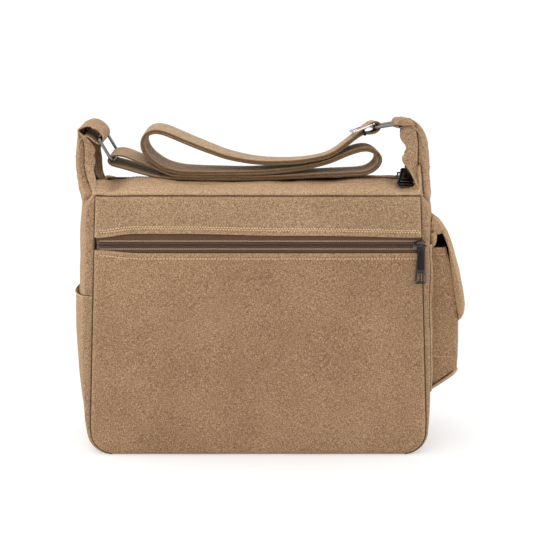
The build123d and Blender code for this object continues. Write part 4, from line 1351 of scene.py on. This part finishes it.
def build_tapes():
    stations = np.linspace(-160.5, 161.5, 81)
    rear = [build_tape("rear_zip_tape_" + tag,
                       [(y, REAR_ZIP_Z + sign * rise) for y, rise in REAR_TAPE],
                       stations, CENTRE)
            for sign, tag in ((1, "upper"), (-1, "lower"))]
    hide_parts("rear_zip_tape")
    stations = np.linspace(-158.5, 158.0, 79)
    main = [build_tape("main_zip_tape_" + end, [(sign * y, z) for y, z in MAIN_TAPE],
                       stations, UNDER_TOP)
            for sign, end in ENDS]
    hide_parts("main_zip_tape")
    return rear


def build_coil(name, start, end, place, node):
    """Two rows of coil loops that interlock on the middle line, with a cord on each."""
    pitch, sides, cord_steps = 1.5, 6, 80
    x_axis = np.array([1.0, 0, 0])
    # (along, across, height) of a loop's centre line, and (across, height) of the cord
    coil_loop = ((-0.26, -0.35, 0.95), (-0.12, 0.95, 1.62), (0, 2.1, 1.72), (0.12, 3.0, 1.1),
                 (0.2, 3.05, 0.45))
    cord = ((1.55, 0.1), (1.6, 1.15), (2.0, 1.42), (2.7, 1.2), (2.9, 0.1))
    last, width = len(coil_loop) - 1, len(cord)
    verts, faces = [], []
    for side in (1, -1):
        for k in range(int((end - start) / pitch)):
            x = start + pitch * (k + (0.5 if side > 0 else 0.0))
            path = np.array([(x + along, across * side, z) for along, across, z in coil_loop])
            faces += ring_faces(len(path), sides, start=len(verts))
            for i, centre in enumerate(path):
                forward = unit(path[min(i + 1, last)] - path[max(i - 1, 0)])
                second = unit(np.cross(forward, x_axis))
                radius = 0.46 if 0 < i < last else 0.3
                verts += ring_points(centre, x_axis, second, radius, sides)
        base = len(verts)
        for i in range(cord_steps + 1):
            x = start + (end - start) * i / cord_steps
            verts += [np.array((x, across * side, z)) for across, z in cord]
        for i in range(cord_steps):
            for k in range(width - 1):
                here = base + i * width + k
                faces.append((here, here + 1, here + width + 1, here + width))
        faces.append(tuple(base + k for k in range(width)))
        faces.append(tuple(base + cord_steps * width + k for k in range(width - 1, -1, -1)))
    coil = make(name, place(np.array(verts)), faces, COIL)
    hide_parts(node)


rear_tapes = build_tapes()
build_coil("rear_zip_coil_chain", -158.5, 156.5, lambda v: np.column_stack(
    [v[:, 0], -53.3 - v[:, 2], REAR_ZIP_Z + v[:, 1] * 0.84]), "rear_zip_coil")
build_coil("main_zip_coil_chain", -155.0, 145.5, lambda v: np.column_stack(
    [v[:, 0], -v[:, 1], MAIN_ZIP_Z + v[:, 2]]), "main_zip_coil")

# --------------------------------------------------------------------------
# strap: one closed loop of webbing, doubled and folded in a Z
# --------------------------------------------------------------------------
# (x, z) between the two plies, from the lowest run to the right-hand ring
STRAP_CORE = [
    (-100.0, 287.2), (-70.0, 286.2), (-42.0, 286.2), (2.0, 286.6), (30.0, 287.6),
    (60.0, 289.2), (90.0, 290.4), (108.0, 291.4), (116.6, 294.6), (121.9, 299.3),
    (124.4, 304.5), (123.0, 309.2), (118.4, 313.4), (111.4, 316.0), (102.0, 315.0),
    (88.6, 310.4), (70.0, 302.6), (41.0, 296.0), (12.5, 292.8), (-8.3, 291.6), (-37.9, 291.3),
    (-60.0, 291.0), (-79.4, 291.6), (-94.2, 295.0), (-103.4, 300.3), (-111.2, 306.7),
    (-116.3, 315.3), (-117.0, 323.0), (-114.2, 329.2), (-107.0, 333.6), (-96.5, 332.8),
    (-79.5, 325.8), (-63.5, 319.0), (-46.4, 312.6), (-29.4, 307.0), (-3.9, 302.8),
    (17.0, 302.2), (40.2, 303.4), (62.0, 307.0), (78.0, 311.8), (90.0, 319.0), (98.5, 325.6),
    (106.0, 330.6),
]
# (x, z) round the left ring's lower bar
LEFT_TURN = [
    (-110.0, 298.0), (-125.0, 304.0), (-137.0, 308.8), (-144.0, 309.6), (-150.0, 308.6),
    (-153.3, 304.6), (-151.9, 300.4), (-147.0, 298.6), (-140.0, 297.0), (-129.0, 293.6),
    (-115.0, 289.6)]
# (along, above) round the right ring's lower bar, from that bar and along the last run
RIGHT_TURN = [(-6.0, -4.2), (-0.5, -5.0), (4.8, -3.9), (7.2, 0.2), (5.2, 4.2), (-0.4, 5.8),
              (-6.2, 4.6)]
LAST_RUN_SLOPE = math.atan2(329.5 - 311.8, 111.5 - 80.0)
PLY = 2.2
# (distance from the webbing's middle, height) over one half of its upper face
WEBBING_HALF = [(19.0, 0.0), (18.9, 0.62), (18.4, 1.0), (14.0, 1.08), (7.0, 1.12), (0.0, 1.1)]


def strap_path():
    """Closed path of (x, z, share of the lean)."""
    core = resample(catmull(STRAP_CORE, 6), step=3.0)
    normals = plane_normals(core)
    x = core[:, 0]
    last_run = np.arange(len(core)) / (len(core) - 1.0) > 0.66
    # the last run turns back towards upright as it nears the right-hand ring
    upright = np.array([smooth(t) for t in (x + 90.0) / 170.0])
    half_upright = np.array([smooth(t) for t in (x + 115.0) / 110.0])
    share = np.where(last_run, 1 - (1 - TWIST) * upright, 1 - 0.5 * half_upright)
    fade = np.where(last_run, 1 - np.clip((x - 70) / 20, 0, 1), 1.0)
    core[:, 1] -= 2.97 * (1 - share) * fade

    offset = normals * (PLY / 2 + 0.12)
    below = np.column_stack([core - offset, share])
    above = np.column_stack([core + offset, share])
    bar_x, bar_z = turned(RIGHT_LOW_BAR[0] - RIGHT_BAR[0], RIGHT_LOW_BAR[1] - RIGHT_BAR[1],
                          RING_TURN)
    bar = np.array([RIGHT_BAR[0] + bar_x, RIGHT_BAR[1] + bar_z])
    right = catmull([bar + turned(along, up, LAST_RUN_SLOPE) for along, up in RIGHT_TURN], 3)
    left = catmull(LEFT_TURN, 3)
    path = np.vstack([below, np.column_stack([right, np.full(len(right), TWIST)]),
                      above[::-1][2:-4], np.column_stack([left, np.ones(len(left))])])
    path = resample(path, step=2.6, closed=True)
    # light smoothing of the joins
    for _ in range(3):
        path = 0.5 * path + 0.25 * (np.roll(path, 1, 0) + np.roll(path, -1, 0))
    return path


def build_strap():
    path = strap_path()
    normals = plane_normals(path[:, :2], closed=True)
    upper = mirrored(WEBBING_HALF)
    section = upper + [(across, -height) for across, height in upper[-2:0:-1]]
    closed = np.vstack([path, path[:1]])[:, :2]
    run = np.r_[0, np.cumsum(np.linalg.norm(np.diff(closed, axis=0), axis=1))]
    verts, shares, uv = [], [], []
    for (x, z, share), normal, along in zip(path, normals, run):
        sway = 0.35 * math.sin(along / 47.0) + 0.25 * math.sin(along / 19.0 + 1.3)
        for across, height in section:
            verts.append((x + normal[0] * height, STRAP_Y + across + sway,
                          z + normal[1] * height))
            shares.append(share)
            uv.append((along * MM, across * MM))
    faces = [face[::-1] for face in ring_faces(len(path), len(section), closed=True)]
    strap = make("strap_webbing_doubled", lean(np.array(verts), np.array(shares)), faces,
                 WEBBING, "strap", uv=uv)
    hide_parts("strap_webbing")


def build_adjuster():
    """Three-bar adjuster: a flat frame and a middle bar bent below it."""
    half_x, half_y, corner, frame_z = 9.8, 21.8, 3.2, 3.35

    def place(verts):
        verts = np.asarray(verts, float)
        x, z = turned(verts[:, 0], verts[:, 2], math.radians(23.0))
        return lean(np.column_stack([106.4 + x, STRAP_Y + verts[:, 1], 331.0 + z]), TWIST)

    outline = []
    for sign_x, sign_y, start in ((1, 1, 0), (-1, 1, 90), (-1, -1, 180), (1, -1, 270)):
        for degrees in range(start, start + 91, 15):
            angle = math.radians(degrees)
            outline.append((sign_x * (half_x - corner) + corner * math.cos(angle),
                            sign_y * (half_y - corner) + corner * math.sin(angle), frame_z))
    verts, faces = rod(resample(outline, step=2.2, closed=True), 1.45, 12, flat=0.72,
                       closed=True)
    adjuster = make("strap_adjuster", place(verts), faces, NICKEL,
                    "strap_slider")
    # (distance from the middle, z) of the middle bar
    bar = mirrored([(half_y - 0.3, frame_z), (half_y - 0.5, frame_z - 1.4), (21.0, -0.4),
                    (20.8, -2.2), (19.8, -3.2), (10, -3.4)])
    verts, faces = rod([(0, y, z) for y, z in bar], 1.15, 12)
    make("strap_adjuster_bar", place(verts), faces, BLACK_NICKEL,
         "strap_slider")
    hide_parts("strap_slider")


build_strap()
build_adjuster()


# --------------------------------------------------------------------------
# metal and lining parts of the frame
# --------------------------------------------------------------------------
def mesh_points(mesh):
    flat = np.zeros(len(mesh.vertices) * 3)
    mesh.vertices.foreach_get("co", flat)
    return flat.reshape(-1, 3)


def set_points(mesh, points):
    mesh.vertices.foreach_set("co", points.ravel())
    mesh.update()


def taper_rear_pull(mesh):
    """Narrow the pull towards its upper end."""
    middle, top, low, top_share = 161.6 * MM, 214.0, 186.0, 0.74
    points = mesh_points(mesh)
    down = np.clip((points[:, 2] / MM - top) / (low - top), 0, 1)
    points[:, 0] = middle + (points[:, 0] - middle) * (top_share + (1 - top_share) * down)
    set_points(mesh, points)


def build_bevelled(node, body, shift=(0, 0, 0), reshape=None):
    """A bevelled copy of a zip part stands for it."""
    mesh = nodes[node].data.copy()
    thing = add_object(node + "_finished", mesh)
    mesh.materials.clear()
    mesh.materials.append(BLACK_NICKEL)
    if reshape:
        reshape(mesh)
    mesh.transform(Matrix.Translation(Vector(shift) * MM))
    weld = thing.modifiers.new("w", "WELD")
    weld.merge_threshold = 1e-6
    bake(thing)
    bevel = thing.modifiers.new("b", "BEVEL")
    bevel.width = 0.28 * MM
    bevel.segments = 2
    bevel.limit_method = "ANGLE"
    bevel.angle_limit = math.radians(35)
    bake(thing)
    thing.data.set_sharp_from_angle(angle=math.radians(50))
    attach(thing, body)
    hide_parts(node)


def recolour(material, *names):
    for name in names:
        thing = nodes[name]
        if not thing.data.materials:
            thing.data.materials.append(material)
        for slot in thing.material_slots:
            slot.link = "OBJECT"
            slot.material = material


def build_right_ring():
    """The right ring, set almost upright and turned about its upper bar."""
    ring = add_object("right_ring_wire", nodes["right_ring"].data.copy())
    points = lean(mesh_points(ring.data) / MM, -1.0)
    x, z = points[:, 0] - RIGHT_BAR[0], points[:, 2] - RIGHT_BAR[1]
    x, z = turned(x, z, RING_TURN)
    points[:, 0], points[:, 2] = RIGHT_BAR[0] + x, RIGHT_BAR[1] + z
    ring.data.materials.clear()
    ring.data.materials.append(RING_WIRE)
    set_points(ring.data, lean(points, TWIST) * MM)
    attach(ring, "right_ring")
    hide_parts("right_ring")


build_bevelled("main_zip_slider", "main_slider", shift=(0, 0, 0.3))
build_bevelled("rear_zip_slider", "rear_slider", shift=(0, -0.35, 0))
build_bevelled("rear_zip_pull", "rear_pull", reshape=taper_rear_pull)
recolour(RING_WIRE, "left_ring")
build_right_ring()
recolour(COIL, "main_zip_stops", "rear_zip_stops")
recolour(SNAP_METAL, "front_snap_sockets", "front_snap_studs")
recolour(LINING, "main_lining", "rear_pocket_lining", "inner_slip_pocket")
recolour(HOOK_PATCH, "side_pocket_patch", "side_flap_patch")
recolour(BOARD, "base_board")
recolour(CANVAS, "back_panel")

# --------------------------------------------------------------------------
# zip pulls
# --------------------------------------------------------------------------
# (distance from the middle, distance down the pull) of the main pull's frame
PULL_HALF = [
    (0.0, -0.6), (1.8, -0.2), (2.5, 1.6), (2.7, 4.0), (3.5, 7.4), (5.2, 14.0), (6.9, 20.5),
    (8.4, 26.0), (9.0, 28.4), (8.4, 30.2), (6.6, 31.0), (3.0, 31.2)]
# name, height over the frame's plane, columns, thickness, (distance down, half width)
PULL_PLATES = [
    ("plate", 0.5, 9, 1.0, ((0.4, 1.6), (4.5, 2.2), (8.0, 2.9), (13.0, 4.2), (18.0, 5.5),
                            (22.5, 6.5), (24.2, 6.7), (25.2, 6.2))),
    ("tongue", 1.35, 9, 0.7, ((9.0, 1.3), (11.0, 1.9), (16.0, 2.9), (20.0, 3.7), (21.2, 3.4))),
    ("back", -0.95, 7, 0.5, ((5.0, 2.4), (14.0, 4.9), (22.0, 7.0), (29.8, 8.0))),
]


def on_pull(across, down, height=0.0):
    """Point on the main pull, which slopes down to the rear by 25 degrees."""
    cosine, sine = math.cos(math.radians(25.0)), math.sin(math.radians(25.0))
    return (150.2 + across, -5.6 - down * cosine - height * sine,
            291.6 - down * sine + height * cosine)


def build_main_pull():
    """A triangular frame round a raised tongue."""
    outline = [on_pull(across, down) for across, down in PULL_HALF] + [on_pull(0.0, 31.2)]
    outline += [on_pull(-across, down) for across, down in PULL_HALF[:0:-1]]
    path = resample(catmull(outline, 3, closed=True), step=1.1, closed=True)
    verts, faces = rod(path, 1.35, 10, closed=True)
    pull = make("main_zip_pull_frame", verts, faces, BLACK_NICKEL, "main_pull")
    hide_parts("main_zip_pull")
    for name, height, columns, thickness, stations in PULL_PLATES:
        grid = grid_of(lambda station, across: on_pull(station[1] * across, station[0], height),
                       stations, np.linspace(-1, 1, columns))
        sheet("main_zip_pull_" + name, grid, (149, -18, 100), BLACK_NICKEL, thickness,
              "main_pull")


def build_rear_pull_bar():
    low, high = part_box("rear_zip_pull")
    y, foot = (low.y + high.y) / 2 / MM, low.z / MM
    tube("rear_zip_pull_bar", [(161.6, y, z) for z in np.linspace(foot + 1.6, foot + 11.0, 6)],
         0.75, BLACK_NICKEL, sides=8, body="rear_pull")


build_main_pull()
build_rear_pull_bar()


# --------------------------------------------------------------------------
# stitching
# --------------------------------------------------------------------------
def stitch_rear_and_top():
    stations = np.linspace(-158, 160, 80)
    stitches("stitch_rear_zip_lower",
             [[(x, -60, opening_lower_edge(x) - 4.8) for x in stations]],
             [rear_wall], FRONTWARD, pitch=3.0, length=2.1, width=0.6)
    stitches("stitch_rear_zip_upper",
             [[(x + shift, -60, opening_upper_edge(x) + 5.2 + rise) for x in stations]
              for rise, shift in ((0.95, 0.0), (-0.95, 1.3))],
             [rear_band], FRONTWARD, pitch=2.7, length=1.8, width=0.66, material=PALE_THREAD)
    stitches("stitch_rear_tape",
             [[(x, -60, REAR_ZIP_Z + sign * 3.9) for x in stations] for sign in (1, -1)],
             rear_tapes, FRONTWARD, pitch=2.0, length=2.0, width=0.7, material=TAPE_STITCH)
    stitches("stitch_top_rear", [[(x, -11.2, 300) for x in np.linspace(-150, 136, 70)]],
             [top_rear], DOWN)
    stitches("stitch_top_front", [[(x, 11.2, 300) for x in np.linspace(-150, 150, 70)]],
             [top_front], DOWN)


def stitch_side_pockets():
    stitches("stitch_slip_pocket",
             [[(-200, y, 162.6 - slip_dip(y)) for y in np.linspace(-46, 46, 30)]],
             [slip_pocket], RIGHTWARD)
    stitches("stitch_phone_pocket_rear",
             [[(x, -60, z) for x in np.linspace(181.5, end, 8)]
              for z, end in ((208.0, 190.0), (101.0, 201.0))],
             [phone_pocket], FRONTWARD)
    across = np.linspace(-34, 34, 20)
    stitches("stitch_phone_pocket_side",
             [[(230, y, z) for y in across] for z in (208.0, 101.0)],
             [phone_pocket], LEFTWARD)
    lines = [[(x + 10, y, z) for x, z in FLAP_PATH[10:36]] for y in (-37.5, 37.5)]
    stitches("stitch_flap_edges", lines + [[(230, y, FLAP_PATH[37][1]) for y in across]],
             [phone_flap], LEFTWARD, body="side_flap")


def stitch_front():
    lines = [[(x, 90, 30.0) for x in np.linspace(-92, 92, 50)]]
    lines += [[(x, 90, z) for z in np.linspace(48, 90, 14)] for x in (-106.0, 106.0)]
    stitches("stitch_front_pocket", lines, [front_pocket], REARWARD)
    # down the side, round the corner and along the lower edge of the flap
    half = [(108.0, z) for z in np.linspace(182, 124, 18)]
    half += [(108.0 - 26 * (1 - math.cos(a)), 124 - 24.5 * math.sin(a))
             for a in np.linspace(0.1, math.pi / 2, 9)]
    half += [(x, 99.5) for x in np.linspace(80, 1, 16)]
    stitches("stitch_front_flap", [[(side * x, 95, z) for x, z in half] for side in (1, -1)],
             [front_flap], REARWARD, body="front_flap")
    stitches("stitch_front_wall",
             [[(side * (corner_width(z) - 5.0), 70, z) for z in np.linspace(255, 30, 60)]
              for side in (1, -1)],
             [front_wall], REARWARD)


stitch_rear_and_top()
stitch_side_pockets()
stitch_front()


# --------------------------------------------------------------------------
# stage, light, camera (metres)
# --------------------------------------------------------------------------
def build_floor():
    """White floor that glows, to the camera only, further away from the bag."""
    material = bpy.data.materials.new("floor_white")
    white = Nodes(material, clear=False)
    shader = white.tree.nodes["Principled BSDF"]
    shader.inputs["Base Color"].default_value = (0.93, 0.93, 0.93, 1)
    shader.inputs["Roughness"].default_value = 0.6
    place = white.new("NewGeometry").outputs["Position"]
    distance = white.new("VectorMath", _operation="LENGTH", i0=place).outputs["Value"]
    fade = white.new("MapRange", _interpolation_type="SMOOTHSTEP", From_Min=0.22,
                     From_Max=0.47, To_Min=0.35, Value=distance)
    seen = white.new("LightPath").outputs["Is Camera Ray"]
    share = white.math("MULTIPLY", fade.outputs[0], seen)
    glow = white.new("Emission", Strength=1.05)
    mixed = white.new("MixShader", i0=share, i1=shader.outputs[0], i2=glow.outputs[0])
    white.put(white.tree.nodes["Material Output"].inputs[0], mixed.outputs[0])
    mesh = bpy.data.meshes.new("floor")
    mesh.from_pydata([(-40, -20, 0), (40, -20, 0), (40, 80, 0), (-40, 80, 0)], [],
                     [(0, 1, 2, 3)])
    mesh.materials.append(material)
    add_object("floor", mesh)


def build_world():
    """White surroundings, brighter to the camera than as a light."""
    world = bpy.data.worlds.new("studio")
    scene.world = world
    studio = Nodes(world)
    output = studio.new("OutputWorld")
    light, seen = (studio.new("Background", i0=(1, 1, 1, 1), i1=strength)
                   for strength in (0.70, 1.05))
    path = studio.new("LightPath")
    mixed = studio.new("MixShader", i0=path.outputs["Is Camera Ray"], i1=light.outputs[0],
                       i2=seen.outputs[0])
    studio.put(output.inputs[0], mixed.outputs[0])


def add_softbox(name, place, target, size, power):
    light = bpy.data.lights.new(name, "AREA")
    light.shape = "RECTANGLE"
    light.size, light.size_y = size
    light.energy = power
    box = add_object(name, light)
    box.location = place
    aim = Vector(target) - Vector(place)
    box.rotation_euler = aim.to_track_quat("-Z", "Y").to_euler()


def build_camera():
    """Camera on the rear side of the bag, tilted down a little."""
    camera = bpy.data.cameras.new("camera")
    camera.sensor_width = 36.0
    camera.sensor_fit = "HORIZONTAL"
    camera.lens = 61.8686679
    camera.clip_start, camera.clip_end = 0.05, 50
    holder = bpy.data.objects.new("camera", camera)
    holder.location = (0.0085, -0.955, 0.360)
    holder.rotation_euler = (math.radians(90 - 10.17), 0, 0)
    scene.collection.objects.link(holder)
    scene.camera = holder


build_floor()
build_world()
add_softbox("top_softbox", place=(0.0, 0.0, 1.5), target=(0, 0, 0.2), size=(1.6, 1.2), power=8.5)
add_softbox("left_softbox", place=(-1.15, 0.0, 0.5), target=(0, 0, 0.17), size=(0.6, 1.0),
            power=7.6)
add_softbox("right_softbox", place=(1.2, 0.0, 0.6), target=(0, 0, 0.17), size=(0.6, 1.0),
            power=5.4)
# the next two stand on the camera's side, which is the bag's rear
add_softbox("front_softbox", place=(-0.1, -0.62, 0.85), target=(0, 0, 0.26), size=(0.9, 0.3),
            power=2.1)
add_softbox("low_softbox", place=(0.0, -1.0, 0.12), target=(0, 0, 0.3), size=(1.0, 0.2),
            power=1.0)
build_camera()
scene.view_settings.view_transform = "Standard"
scene.view_settings.look = "None"
scene.view_settings.exposure = 0.0
